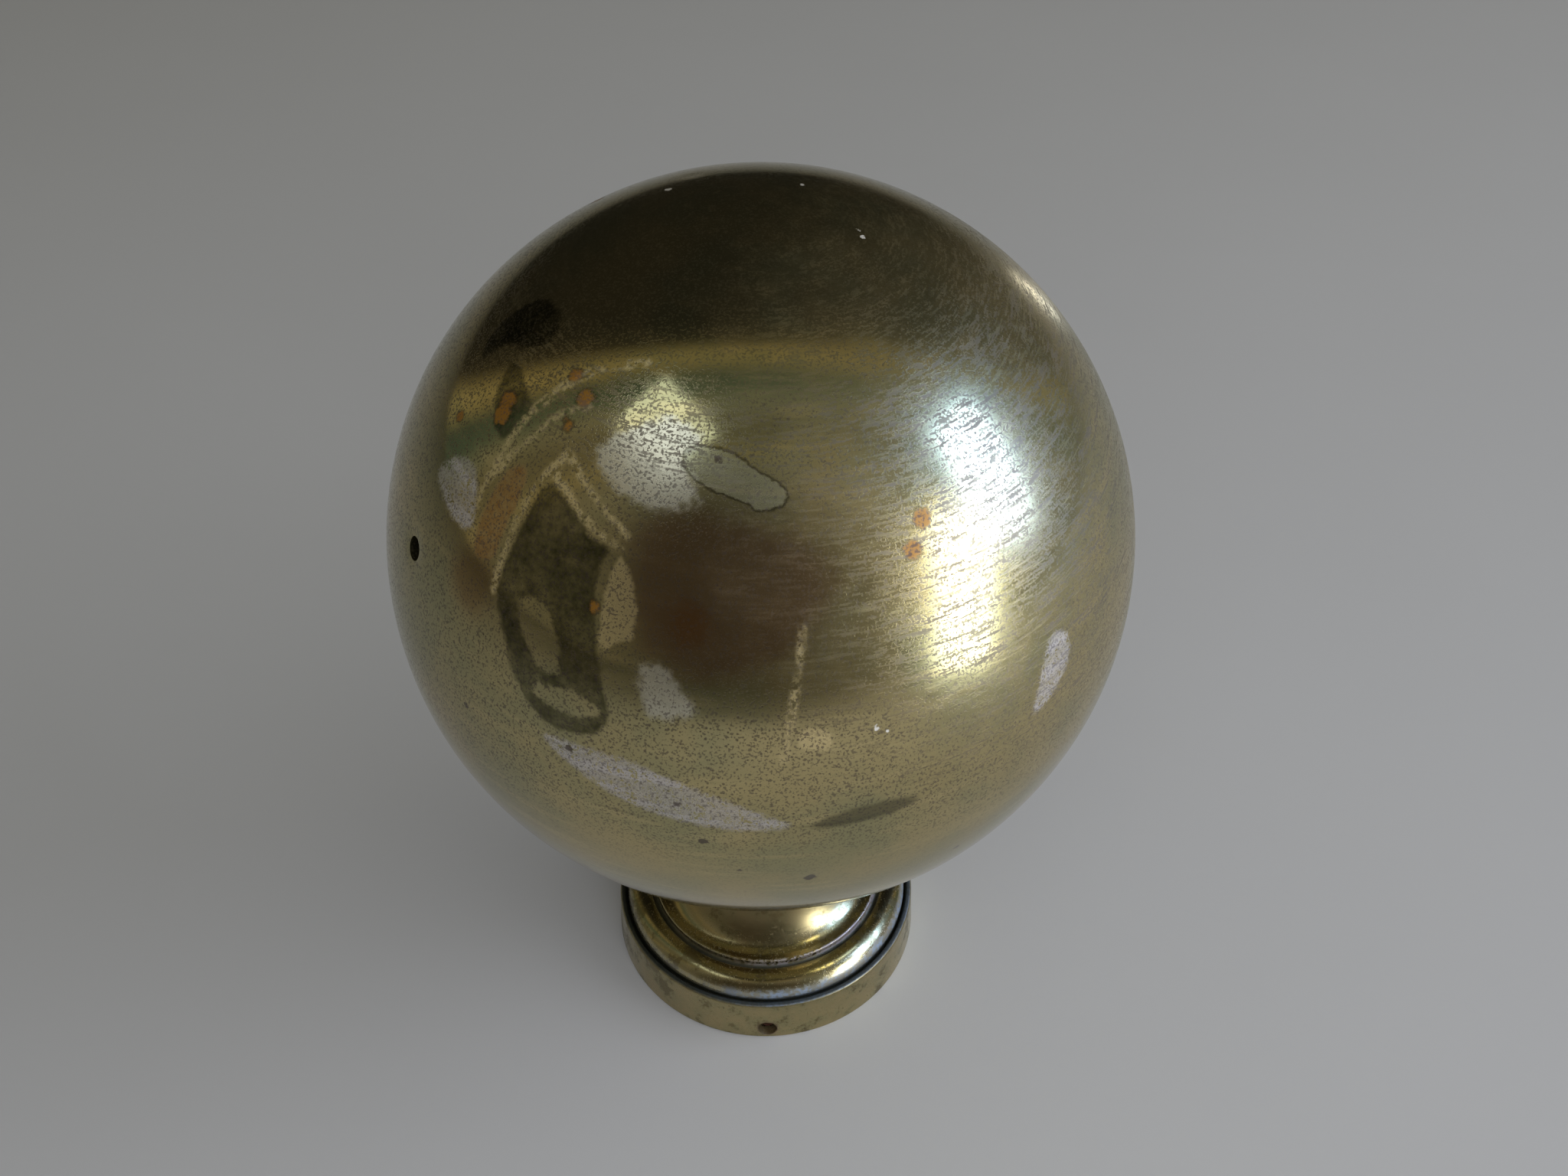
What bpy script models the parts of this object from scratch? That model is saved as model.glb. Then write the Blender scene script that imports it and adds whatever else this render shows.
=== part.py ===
"""Hollow brass ball finial on a turned collar, for the top of a stair newel post.

Metres, +Z up, origin at the centre of the foot. The -Y side is the front, where the first set screw is.
The ball is two spun shells soldered over an inner band, with a tapped boss in its base. A stud screwed
into the boss passes down through the collar and is held by a washer and a nut, up inside the collar.
The collar is let into a plain base ring, which is the socket for the post, and three set screws in the ring
grip the post.
"""

from math import asin, cos, pi, radians, sin, sqrt

import bmesh
import bpy
from mathutils import Matrix, Vector

MM = 0.001

# Fits
GAP = 0.3 * MM                  # between pieces that touch, are soldered or are screwed together
STUD_PLAY = 0.5 * MM            # between the stud and its hole through the collar

# Ball
BALL_RADIUS = 50.0 * MM
SHELL_WALL = 1.5 * MM
SEAM_BAND_HEIGHT = 9.0 * MM
SEAM_BAND_WALL = 1.0 * MM
VENT_RADIUS = 1.5 * MM
VENT_LATITUDE = 21.0            # degrees above the seam
VENT_BEARING = 207.5            # degrees round from +X

# Boss soldered into the bottom of the ball
SPIGOT_RADIUS = 7.7 * MM        # the part that passes through the shell
BOSS_RADIUS = 9.0 * MM
BOSS_HEIGHT = 12.0 * MM
FLANGE_RADIUS = 12.0 * MM
FLANGE_THICKNESS = 2.5 * MM

# Stud, washer and nut, all M8
STUD_RADIUS = 4.0 * MM
STUD_TAIL = 1.0 * MM            # below the nut
WASHER_RADIUS = 8.0 * MM
WASHER_THICKNESS = 1.6 * MM
NUT_ACROSS_FLATS = 13.0 * MM
NUT_HEIGHT = 6.5 * MM
NUT_POCKET_RADIUS = 9.5 * MM

# Collar: seat, neck, fillet and bead, with a spigot let into the base ring
COLLAR_HEIGHT = 37.0 * MM       # to the rim that the ball sits in
SEAT_RADIUS = 13.2 * MM
CAP_EDGE = 1.1 * MM             # height of the edge round the top
WAIST_RADIUS = 11.6 * MM
WAIST_HEIGHT = 25.0 * MM
BEAD_WIDTH = 3.6 * MM           # half the width of the bead's oval section
BEAD_HEIGHT = 3.0 * MM          # half its height
BEAD_OVERHANG = 0.3 * MM        # past the ledge on which the collar stands
FILLET_INSET = 1.1 * MM         # from the crown of the bead to the fillet
FILLET_HEIGHT = 1.2 * MM
VALLEY_DEPTH = 0.5 * MM         # of the groove between them, below the crown
COLLAR_SPIGOT = 1.3 * MM        # how deep the collar is let into the ring

# Base ring, with the socket for the post
SOCKET_RADIUS = 19.0 * MM
RING_WALL = 5.9 * MM
RING_HEIGHT = 8.4 * MM
RING_FLARE = 0.4 * MM           # how much wider it is at the foot
LEDGE_WIDTH = 4.3 * MM          # level ring on which the collar stands
LEDGE_FALL = 0.7 * MM           # how far below the ring's top that is
STEP_WIDTH = 0.15 * MM          # level top of the ring's outer edge
EDGE = 0.5 * MM                 # rounding of edges

# Set screws, M3
SCREW_RADIUS = 1.25 * MM
SCREW_HEIGHT = 2.4 * MM
SCREW_RECESS = 0.8 * MM         # below the outside of the ring
SCREW_SETBACK = 0.6 * MM        # behind the inside of the socket
SCREW_POINT = 0.5 * MM
SLOT_WIDTH = 0.5 * MM
SLOT_DEPTH = 0.8 * MM
SCREW_BEARINGS = {"set_screw_front": -90.0, "set_screw_right": 30.0, "set_screw_left": 150.0}

# Facets
ROUND_STEPS = 56
SMALL_STEPS = 28
SCREW_STEPS = 16
BALL_ARC_STEPS = 12

# Places that follow from the sizes
SHELL_OPENING = SPIGOT_RADIUS + GAP
RING_RADIUS = SOCKET_RADIUS + RING_WALL
LEDGE_RADIUS = SOCKET_RADIUS + LEDGE_WIDTH
LEDGE_Z = RING_HEIGHT - LEDGE_FALL
BEAD_LINE = LEDGE_RADIUS + BEAD_OVERHANG - BEAD_WIDTH       # radius of the bead's crown
FILLET_RADIUS = BEAD_LINE - FILLET_INSET
VALLEY_Z = RING_HEIGHT + BEAD_HEIGHT - VALLEY_DEPTH
FILLET_TOP = VALLEY_Z + FILLET_HEIGHT
SOCKET_DEPTH = LEDGE_Z - COLLAR_SPIGOT
CAP_RADIUS = SEAT_RADIUS + 0.6 * MM

SEAT_SPHERE = BALL_RADIUS + GAP
BALL_Z = COLLAR_HEIGHT + sqrt(SEAT_SPHERE ** 2 - SEAT_RADIUS ** 2)
BOSS_BOTTOM = -sqrt(BALL_RADIUS ** 2 - SHELL_OPENING ** 2)  # from the centre of the ball
SEAT_FLOOR = BALL_Z + BOSS_BOTTOM - GAP

STUD_BOTTOM = SOCKET_DEPTH + GAP
STUD_TOP = BALL_Z + BOSS_BOTTOM + BOSS_HEIGHT - STUD_TAIL
NUT_Z = STUD_BOTTOM + STUD_TAIL
WASHER_Z = NUT_Z + NUT_HEIGHT + GAP
POCKET_ROOF = WASHER_Z + WASHER_THICKNESS + GAP

SCREW_HOLE_RADIUS = SCREW_RADIUS + GAP
SCREW_OUTER = RING_RADIUS - SCREW_RECESS
SCREW_INNER = SOCKET_RADIUS + SCREW_SETBACK


def clear_scene():
    """Remove every object that the file opened with."""
    for thing in list(bpy.data.objects):
        bpy.data.objects.remove(thing, do_unlink=True)


def collection(name):
    """Make a collection under the scene's own."""
    group = bpy.data.collections.new(name)
    bpy.context.scene.collection.children.link(group)
    return group


def metal(name, colour, roughness):
    """Make a bare metal's material."""
    material = bpy.data.materials.new(name)
    material.use_nodes = True
    shader = material.node_tree.nodes["Principled BSDF"]
    shader.inputs["Base Color"].default_value = (*colour, 1.0)
    shader.inputs["Roughness"].default_value = roughness
    shader.inputs["Metallic"].default_value = 1.0
    return material


def oval(centre_r, centre_z, half_width, half_height, start, end, steps):
    """Points of an oval stretch of an outline, from one angle in degrees to the other."""
    angles = [radians(start + (end - start) * step / steps) for step in range(steps + 1)]
    return [(centre_r + half_width * cos(angle), centre_z + half_height * sin(angle)) for angle in angles]


def arc(centre_r, centre_z, radius, start, end, steps):
    """Points of a round stretch of an outline, from one angle in degrees to the other."""
    return oval(centre_r, centre_z, radius, radius, start, end, steps)


def cove(edge_r, edge_z, down, steps):
    """Points of a quarter ellipse between the waist and an edge, in order down the neck."""
    points = []
    for step in range(steps + 1):
        turn = radians(90.0 * step / steps)
        r = edge_r - (edge_r - WAIST_RADIUS) * cos(turn)
        z = WAIST_HEIGHT + (edge_z - WAIST_HEIGHT) * sin(turn)
        points.append((r, z))
    return points if down else points[::-1]


def add_object(name, mesh, group, material=None, location=(0.0, 0.0, 0.0), parent=None):
    """Put a mesh in the scene as a named object, with its own copy of its material."""
    thing = bpy.data.objects.new(name, mesh)
    group.objects.link(thing)
    thing.location = location
    if material:
        own = material.copy()
        own.name = name
        mesh.materials.append(own)
    if parent:
        thing.parent = parent
        thing.matrix_parent_inverse = parent.matrix_world.inverted()
    return thing


def turned(name, outline, steps, group, material, location=(0.0, 0.0, 0.0), parent=None):
    """Turn an outline about Z. It runs down its outer side, and closes unless both ends are on the axis."""
    points = [(max(r, 0.0) if r > 1e-9 else 0.0, 0.0, z) for r, z in outline]
    edges = [(index, index + 1) for index in range(len(points) - 1)]
    if points[0][0] > 0.0:
        edges.append((len(points) - 1, 0))
    mesh = bpy.data.meshes.new(name)
    mesh.from_pydata(points, edges, [])
    thing = add_object(name, mesh, group, material, location, parent)
    screw = thing.modifiers.new("turn", "SCREW")
    screw.axis = "Z"
    screw.steps = steps
    screw.render_steps = steps
    screw.use_merge_vertices = True
    screw.merge_threshold = 1e-6
    screw.use_smooth_shade = False
    return thing


def cylinder_cutter(name, radius, start, end, group, steps):
    """A round cutter between two points."""
    axis = Vector(end) - Vector(start)
    middle = (Vector(end) + Vector(start)) / 2.0
    mesh = bpy.data.meshes.new(name)
    form = bmesh.new()
    bmesh.ops.create_cone(form, cap_ends=True, segments=steps, radius1=radius, radius2=radius, depth=axis.length)
    turn = axis.to_track_quat("Z", "Y").to_matrix().to_4x4()
    form.transform(Matrix.Translation(middle) @ turn)
    form.to_mesh(mesh)
    form.free()
    return mark_cutter(add_object(name, mesh, group))


def box_cutter(name, size, location, bearing, group):
    """A box cutter turned about Z by its bearing."""
    mesh = bpy.data.meshes.new(name)
    form = bmesh.new()
    bmesh.ops.create_cube(form, size=1.0)
    form.transform(Matrix.Diagonal((*size, 1.0)))
    form.transform(Matrix.Translation(location) @ Matrix.Rotation(bearing, 4, "Z"))
    form.to_mesh(mesh)
    form.free()
    return mark_cutter(add_object(name, mesh, group))


def mark_cutter(thing):
    """Hide a cutter from renders and show it as wires."""
    thing.hide_render = True
    thing.display_type = "WIRE"
    return thing


def cut(thing, cutter):
    """Take a cutter away from a piece."""
    boolean = thing.modifiers.new(cutter.name, "BOOLEAN")
    boolean.operation = "DIFFERENCE"
    boolean.solver = "EXACT"
    boolean.object = cutter


def radial(bearing, distance, height):
    """The point at a bearing in degrees, a distance from the axis and a height."""
    turn = radians(bearing)
    return Vector((distance * cos(turn), distance * sin(turn), height))


def make_upper_shell(parts, cutters, brass, ball):
    """Upper half of the ball, with the vent hole. Its wall ends half a gap above the seam."""
    inner = BALL_RADIUS - SHELL_WALL
    outside = arc(0.0, 0.0, BALL_RADIUS, 90.0, lift_angle(BALL_RADIUS), BALL_ARC_STEPS)
    inside = arc(0.0, 0.0, inner, lift_angle(inner), 90.0, BALL_ARC_STEPS)
    shell = turned("upper_shell", outside + inside, ROUND_STEPS, parts, brass, (0.0, 0.0, BALL_Z), ball)
    centre = Vector((0.0, 0.0, BALL_Z))
    rise = radians(VENT_LATITUDE)
    outward = radial(VENT_BEARING, cos(rise), sin(rise))
    start = centre + outward * (BALL_RADIUS - 3.0 * SHELL_WALL)
    end = centre + outward * (BALL_RADIUS + SHELL_WALL)
    cut(shell, cylinder_cutter("vent_cutter", VENT_RADIUS, start, end, cutters, SCREW_STEPS))


def lift_angle(radius):
    """Angle above the seam, in degrees, of a point half a gap up on a circle."""
    return asin(GAP / 2.0 / radius) * 180.0 / pi


def opening_angle(radius):
    """Angle, in degrees, at which a circle round the ball's centre reaches the hole for the boss."""
    return asin(SHELL_OPENING / radius) * 180.0 / pi - 90.0


def make_lower_shell(parts, brass, ball):
    """Lower half of the ball, open at the bottom for the boss."""
    inner = BALL_RADIUS - SHELL_WALL
    outside = arc(0.0, 0.0, BALL_RADIUS, -lift_angle(BALL_RADIUS), opening_angle(BALL_RADIUS), BALL_ARC_STEPS)
    inside = arc(0.0, 0.0, inner, opening_angle(inner), -lift_angle(inner), BALL_ARC_STEPS)
    turned("lower_shell", outside + inside, ROUND_STEPS, parts, brass, (0.0, 0.0, BALL_Z), ball)


def make_seam_band(parts, brass, ball):
    """Strip inside the ball that laps the soldered seam, curved with the shells."""
    outer = BALL_RADIUS - SHELL_WALL - GAP
    inner = outer - SEAM_BAND_WALL
    reach = asin(SEAM_BAND_HEIGHT / 2.0 / outer) * 180.0 / pi
    outline = arc(0.0, 0.0, outer, reach, -reach, 4) + arc(0.0, 0.0, inner, -reach, reach, 4)
    turned("seam_band", outline, ROUND_STEPS, parts, brass, (0.0, 0.0, BALL_Z), ball)


def make_stud_boss(parts, brass, ball):
    """Boss soldered into the base of the ball: its flange lies on the inside of the lower shell."""
    bed = BALL_RADIUS - SHELL_WALL - GAP
    hole = STUD_RADIUS + GAP
    top = BOSS_BOTTOM + BOSS_HEIGHT
    flange_low = -sqrt(bed ** 2 - FLANGE_RADIUS ** 2)
    start = asin(FLANGE_RADIUS / bed) * 180.0 / pi - 90.0
    end = asin(SPIGOT_RADIUS / bed) * 180.0 / pi - 90.0
    outline = [
        (hole, top),
        (BOSS_RADIUS - EDGE, top),
        (BOSS_RADIUS, top - EDGE),
        (BOSS_RADIUS, flange_low + FLANGE_THICKNESS),
        (FLANGE_RADIUS, flange_low + FLANGE_THICKNESS),
        *arc(0.0, 0.0, bed, start, end, 3),
        (SPIGOT_RADIUS, BOSS_BOTTOM),
        (hole, BOSS_BOTTOM),
    ]
    turned("stud_boss", outline, SMALL_STEPS, parts, brass, (0.0, 0.0, BALL_Z), ball)


def make_tie_stud(parts, steel, ball):
    """Stud from the boss down through the collar, with a chamfer at each end."""
    outline = [
        (0.0, STUD_TOP),
        (STUD_RADIUS - EDGE, STUD_TOP),
        (STUD_RADIUS, STUD_TOP - EDGE),
        (STUD_RADIUS, STUD_BOTTOM + EDGE),
        (STUD_RADIUS - EDGE, STUD_BOTTOM),
        (0.0, STUD_BOTTOM),
    ]
    turned("tie_stud", outline, SMALL_STEPS, parts, steel, parent=ball)


def collar_outline():
    """Section of the collar: seat, neck, fillet, bead and spigot down the outside, nut pocket inside."""
    hole = STUD_RADIUS + STUD_PLAY
    recess = SHELL_OPENING + 2.0 * GAP
    seat_start = asin(recess / SEAT_SPHERE) * 180.0 / pi - 90.0
    seat_end = asin(SEAT_RADIUS / SEAT_SPHERE) * 180.0 / pi - 90.0
    cap_bottom = COLLAR_HEIGHT - EDGE - CAP_EDGE
    flare = FILLET_RADIUS - 0.4 * MM
    seat = [(hole, SEAT_FLOOR), (recess, SEAT_FLOOR)] + arc(0.0, BALL_Z, SEAT_SPHERE, seat_start, seat_end, 3)
    neck = [(CAP_RADIUS, COLLAR_HEIGHT - EDGE)] + cove(CAP_RADIUS, cap_bottom, False, 5)
    neck += cove(flare, FILLET_TOP, True, 7)[1:]
    fillet = [(FILLET_RADIUS, FILLET_TOP - 0.3 * MM), (FILLET_RADIUS, VALLEY_Z)]
    valley = [(BEAD_LINE - FILLET_INSET / 2.0, VALLEY_Z)]
    bead = oval(BEAD_LINE, RING_HEIGHT, BEAD_WIDTH, BEAD_HEIGHT, 96.0, -4.0, 12)
    foot = [
        (LEDGE_RADIUS, LEDGE_Z + GAP),
        (SOCKET_RADIUS - GAP, LEDGE_Z + GAP),
        (SOCKET_RADIUS - GAP, SOCKET_DEPTH),
    ]
    pocket = [
        (NUT_POCKET_RADIUS, SOCKET_DEPTH),
        (NUT_POCKET_RADIUS, POCKET_ROOF),
        (hole, POCKET_ROOF),
    ]
    return seat + neck + fillet + valley + bead + foot + pocket


def make_base_ring(parts, brass):
    """Plain ring at the foot. Its top falls to a ledge for the collar, which leaves a dark line round it."""
    foot = RING_RADIUS + RING_FLARE
    outline = [
        (SOCKET_RADIUS, LEDGE_Z),
        (LEDGE_RADIUS + GAP, LEDGE_Z),
        (RING_RADIUS - EDGE - STEP_WIDTH, RING_HEIGHT),
        *arc(RING_RADIUS - EDGE, RING_HEIGHT - EDGE, EDGE, 90.0, 0.0, 3),
        (foot, EDGE),
        (foot - EDGE / 2.0, 0.0),
        (SOCKET_RADIUS + EDGE, 0.0),
        (SOCKET_RADIUS, EDGE),
    ]
    return turned("base_ring", outline, ROUND_STEPS, parts, brass)


def make_washer(parts, steel):
    """Washer under the roof of the nut pocket."""
    hole = STUD_RADIUS + GAP
    top = WASHER_Z + WASHER_THICKNESS
    outline = [(hole, top), (WASHER_RADIUS, top), (WASHER_RADIUS, WASHER_Z), (hole, WASHER_Z)]
    turned("clamp_washer", outline, SMALL_STEPS, parts, steel)


def make_nut(parts, cutters, steel, ball):
    """Hexagon nut on the stud."""
    mesh = bpy.data.meshes.new("clamp_nut")
    form = bmesh.new()
    corner = NUT_ACROSS_FLATS / 2.0 / cos(pi / 6.0)
    bmesh.ops.create_cone(form, cap_ends=True, segments=6, radius1=corner, radius2=corner, depth=NUT_HEIGHT)
    form.to_mesh(mesh)
    form.free()
    middle = NUT_Z + NUT_HEIGHT / 2.0
    nut = add_object("clamp_nut", mesh, parts, steel, (0.0, 0.0, middle), ball)
    start = (0.0, 0.0, NUT_Z - STUD_TAIL)
    end = (0.0, 0.0, NUT_Z + NUT_HEIGHT + STUD_TAIL)
    cut(nut, cylinder_cutter("nut_cutter", STUD_RADIUS + GAP, start, end, cutters, SMALL_STEPS))


def make_set_screw(name, bearing, ring, parts, cutters, steel):
    """A slotted set screw on its bearing, and its hole through the base ring."""
    axis = bpy.data.objects.new(name + "_axis", None)
    parts.objects.link(axis)
    axis.location = (0.0, 0.0, SCREW_HEIGHT)
    axis.rotation_euler = (0.0, radians(90.0), radians(bearing))
    bpy.context.view_layer.update()
    outline = [
        (0.0, SCREW_OUTER),
        (SCREW_RADIUS, SCREW_OUTER),
        (SCREW_RADIUS, SCREW_INNER + SCREW_POINT),
        (SCREW_RADIUS - SCREW_POINT, SCREW_INNER),
        (0.0, SCREW_INNER),
    ]
    screw = turned(name, outline, SCREW_STEPS, parts, steel)
    screw.parent = axis
    slot_size = (2.0 * SLOT_DEPTH, 3.0 * SCREW_RADIUS, SLOT_WIDTH)
    slot = box_cutter(name + "_slot", slot_size, radial(bearing, SCREW_OUTER, SCREW_HEIGHT), radians(bearing), cutters)
    cut(screw, slot)
    start = radial(bearing, SOCKET_RADIUS - RING_WALL / 2.0, SCREW_HEIGHT)
    end = radial(bearing, RING_RADIUS + RING_WALL / 2.0, SCREW_HEIGHT)
    cut(ring, cylinder_cutter(name + "_hole", SCREW_HOLE_RADIUS, start, end, cutters, SCREW_STEPS))


def main():
    """Build the finial."""
    clear_scene()
    parts = collection("newel_ball_finial")
    cutters = collection("cutters")
    brass = metal("brass", (0.56, 0.43, 0.17), 0.25)
    steel = metal("steel", (0.30, 0.22, 0.17), 0.55)
    ball = bpy.data.objects.new("ball_axis", None)
    parts.objects.link(ball)
    make_upper_shell(parts, cutters, brass, ball)
    make_lower_shell(parts, brass, ball)
    make_seam_band(parts, brass, ball)
    make_stud_boss(parts, brass, ball)
    make_tie_stud(parts, steel, ball)
    turned("collar", collar_outline(), ROUND_STEPS, parts, brass)
    ring = make_base_ring(parts, brass)
    make_washer(parts, steel)
    make_nut(parts, cutters, steel, ball)
    for name, bearing in SCREW_BEARINGS.items():
        make_set_screw(name, bearing, ring, parts, cutters, steel)


main()
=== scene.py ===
"""Finish, light and camera for a hollow brass ball finial from a stair newel post.

Laid out as an add-on and run as a script: each group of pieces is an operator, and main() calls them in order.
Lengths in the functions are millimetres, in the frame of the model: +Z up, the front towards -Y. Meshes are
written in metres. Latitude and bearing on the ball are degrees above its seam and degrees round from +X.
"""

from functools import reduce
from math import cos, pi, radians, sin, sqrt

import bpy
import numpy as np
from bpy.props import FloatProperty, FloatVectorProperty, PointerProperty
from mathutils import Matrix, Vector


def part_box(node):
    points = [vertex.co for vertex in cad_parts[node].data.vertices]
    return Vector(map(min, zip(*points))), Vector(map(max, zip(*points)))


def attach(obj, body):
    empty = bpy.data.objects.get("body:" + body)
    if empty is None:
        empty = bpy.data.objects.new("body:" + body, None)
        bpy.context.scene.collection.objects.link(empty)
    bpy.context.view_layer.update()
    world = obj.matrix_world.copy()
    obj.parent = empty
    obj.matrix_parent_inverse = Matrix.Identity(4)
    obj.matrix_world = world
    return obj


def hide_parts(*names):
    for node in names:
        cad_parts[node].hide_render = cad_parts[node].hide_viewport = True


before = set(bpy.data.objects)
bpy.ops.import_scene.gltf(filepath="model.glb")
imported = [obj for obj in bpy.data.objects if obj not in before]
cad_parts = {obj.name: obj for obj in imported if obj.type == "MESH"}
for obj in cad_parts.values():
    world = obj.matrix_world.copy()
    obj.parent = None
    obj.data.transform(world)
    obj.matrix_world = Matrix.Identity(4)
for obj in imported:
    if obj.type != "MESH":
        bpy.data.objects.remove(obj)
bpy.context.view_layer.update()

bl_info = {
    "name": "Brass ball finial",
    "version": (1, 0, 0),
    "blender": (4, 5, 0),
    "location": "3D View > Sidebar > Finial",
    "description": "Builds the finished look of a hollow brass ball finial and its studio",
    "category": "Add Mesh",
}

MM = 0.001
SHELL_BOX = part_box("upper_shell")
BALL_RADIUS = (SHELL_BOX[1].x - SHELL_BOX[0].x) / 2.0 / MM
BALL_Z = SHELL_BOX[1].z / MM - BALL_RADIUS
RING_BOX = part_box("base_ring")
COLLAR_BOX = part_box("collar")
STUD_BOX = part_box("tie_stud")
NUT_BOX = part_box("clamp_nut")
WASHER_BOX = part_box("clamp_washer")
SCREWS = {"set_screw_front": ("front_screw", -90.0), "set_screw_right": ("right_screw", 30.0),
          "set_screw_left": ("left_screw", 150.0)}
GAP = 0.3                       # clearance between pieces, in millimetres
STUD_HOLE = 4.5                 # radius of the collar's hole for the stud
BORE = 4.3                      # radius of the holes in the boss, the washer and the nut


# Sizes and colours that a user would change


def length(name, value, description):
    """A property in millimetres."""
    return FloatProperty(name=name, description=description + ", in millimetres", default=value, min=0.0)


def colour(name, value, description):
    """A colour property."""
    return FloatVectorProperty(name=name, description=description, default=value, subtype="COLOR", size=3,
                               min=0.0, max=1.0)


def angle(name, degrees, description):
    """An angle property."""
    return FloatProperty(name=name, description=description, default=radians(degrees), subtype="ANGLE",
                         unit="ROTATION")


class FINIAL_PG_ball(bpy.types.PropertyGroup):
    """The hollow ball."""

    wall: length("Wall", 1.5, "Thickness of the spun shells")
    opening: length("Opening", 8.0, "Radius of the hole for the boss")
    vent: length("Vent", 1.5, "Radius of the vent hole")
    vent_latitude: angle("Vent latitude", 21.0, "Angle of the vent above the seam")
    vent_bearing: angle("Vent bearing", 207.5, "Angle of the vent round from +X")
    swell: length("Swell", 0.035, "Height of the slow swells left by spinning")
    brass: colour("Brass", (0.47, 0.385, 0.185), "Polished brass")
    green: colour("Greenish brass", (0.36, 0.33, 0.17), "Brass under a thin film")
    brown: colour("Tarnish", (0.085, 0.058, 0.026), "Old brown tarnish")
    speck: colour("Specks", (0.090, 0.068, 0.058), "Dark purple-brown pitting")
    orange: colour("Orange spots", (0.36, 0.165, 0.020), "Spots where the zinc has gone")
    olive: colour("Dark patches", (0.075, 0.070, 0.030), "Dark olive tarnish")
    # Maroon: tarnish, and on the front of the ball also a painted dark reflection
    maroon: colour("Maroon patch", (0.30, 0.185, 0.105), "Brown tarnish with red in it")
    # Pale silver: faded brass, and in the first pale patch also a painted highlight
    silver: colour("Pale patches", (0.74, 0.71, 0.60), "Brass that has lost its colour")
    worn: colour("Worn lines", (0.66, 0.53, 0.26), "Bright brass along the borders of patches")
    grey: colour("Dull film", (0.52, 0.49, 0.49), "Grey-lilac film")


class FINIAL_PG_collar(bpy.types.PropertyGroup):
    """The turned collar and the base ring."""

    seat: length("Seat", 13.2, "Radius of the seat for the ball")
    waist: length("Waist", 11.6, "Radius of the neck at its narrowest")
    waist_height: length("Waist height", 25.0, "Height of the narrowest place")
    bead_width: length("Bead width", 3.6, "Half the width of the bead's oval section")
    bead_height: length("Bead height", 3.0, "Half its height")
    fillet_inset: length("Fillet inset", 1.1, "From the crown of the bead to the fillet")
    fillet_height: length("Fillet height", 1.2, "Height of the fillet")
    valley: length("Valley", 0.5, "Depth of the groove between the bead and the fillet")
    ledge: length("Ledge", 4.3, "Width of the ledge in the ring")
    ledge_fall: length("Ledge fall", 0.7, "Depth of the ledge below the ring's top")
    pocket: length("Nut pocket", 9.5, "Radius of the pocket for the nut")
    socket: length("Socket", 19.0, "Radius of the socket for the post")
    flare: length("Flare", 0.4, "How much wider the ring is at the foot")
    screw_height: length("Screw height", 2.4, "Height of the set screws")
    screw_hole: length("Screw hole", 1.55, "Radius of the set screws' holes")
    brass: colour("Brass", (0.45, 0.365, 0.185), "Polished brass")
    # Brown tarnish; in the neck under the ball it also stands for painted shade
    brown: colour("Tarnish", (0.13, 0.083, 0.030), "Brown tarnish")
    # Black-green for both the dirt and the painted shade in the grooves
    dirt_and_shade: colour("Dirt", (0.012, 0.017, 0.013), "Black-green dirt in the grooves")
    film: colour("Film", (0.33, 0.43, 0.58), "Blue-grey film on the flank of the bead")


class FINIAL_PG_steel(bpy.types.PropertyGroup):
    """The steel fittings."""

    stud_pitch: length("Stud pitch", 1.25, "Rise of the stud's thread")
    screw_pitch: length("Screw pitch", 0.5, "Rise of a set screw's thread")
    slot: length("Slot", 0.5, "Width of a set screw's slot")
    steel: colour("Steel", (0.33, 0.31, 0.29), "Bare steel")
    rust: colour("Rust", (0.10, 0.030, 0.014), "Red-brown rust")


class FINIAL_PG_stage(bpy.types.PropertyGroup):
    """Floor, light and camera."""

    floor: colour("Floor", (0.62, 0.63, 0.66), "Pale floor")
    elevation: angle("Elevation", 41.0, "Angle of the camera above the ball's centre")
    distance: length("Distance", 210.4, "From the ball's centre to the camera")
    lens: FloatProperty(name="Lens", description="Focal length", default=35.16, unit="CAMERA")
    aim_down: angle("Aim down", 1.824, "How far below the ball's centre the camera aims")
    aim_right: angle("Aim right", 0.80, "How far to the right of the ball's centre the camera aims")
    roll: angle("Roll", -0.65, "Turn of the camera about its own axis")
    key: FloatProperty(name="Key", description="Radiance of the soft key light", default=1.0, min=0.0)


# Meshes


def point_at(latitude, bearing, distance=1.0):
    """The point in a direction: latitude above the seam and bearing round from +X, in degrees."""
    up, turn = radians(latitude), radians(bearing)
    return np.array([cos(up) * cos(turn), cos(up) * sin(turn), sin(up)]) * distance


def arc(centre_r, centre_z, radius, start, end, count, half_height=None):
    """Points (r, z) on a circle, or on an oval of a given half height, between two angles in degrees."""
    turn = np.radians(np.linspace(start, end, count))
    tall = radius if half_height is None else half_height
    return np.stack([centre_r + radius * np.cos(turn), centre_z + tall * np.sin(turn)], axis=1)


def line(start, end, count):
    """Points (r, z) evenly along a straight line."""
    step = np.linspace(0.0, 1.0, count)[:, None]
    return np.array(start) * (1.0 - step) + np.array(end) * step


def swept(outline, columns):
    """Grid of an outline turned about Z: x = r cos a, y = r sin a, z = z, with a going once round."""
    turn = np.linspace(0.0, 2.0 * pi, columns, endpoint=False)
    r, z = outline[:, :1], outline[:, 1:]
    return np.stack([r * np.cos(turn), r * np.sin(turn), z + 0.0 * turn], axis=-1)


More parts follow.
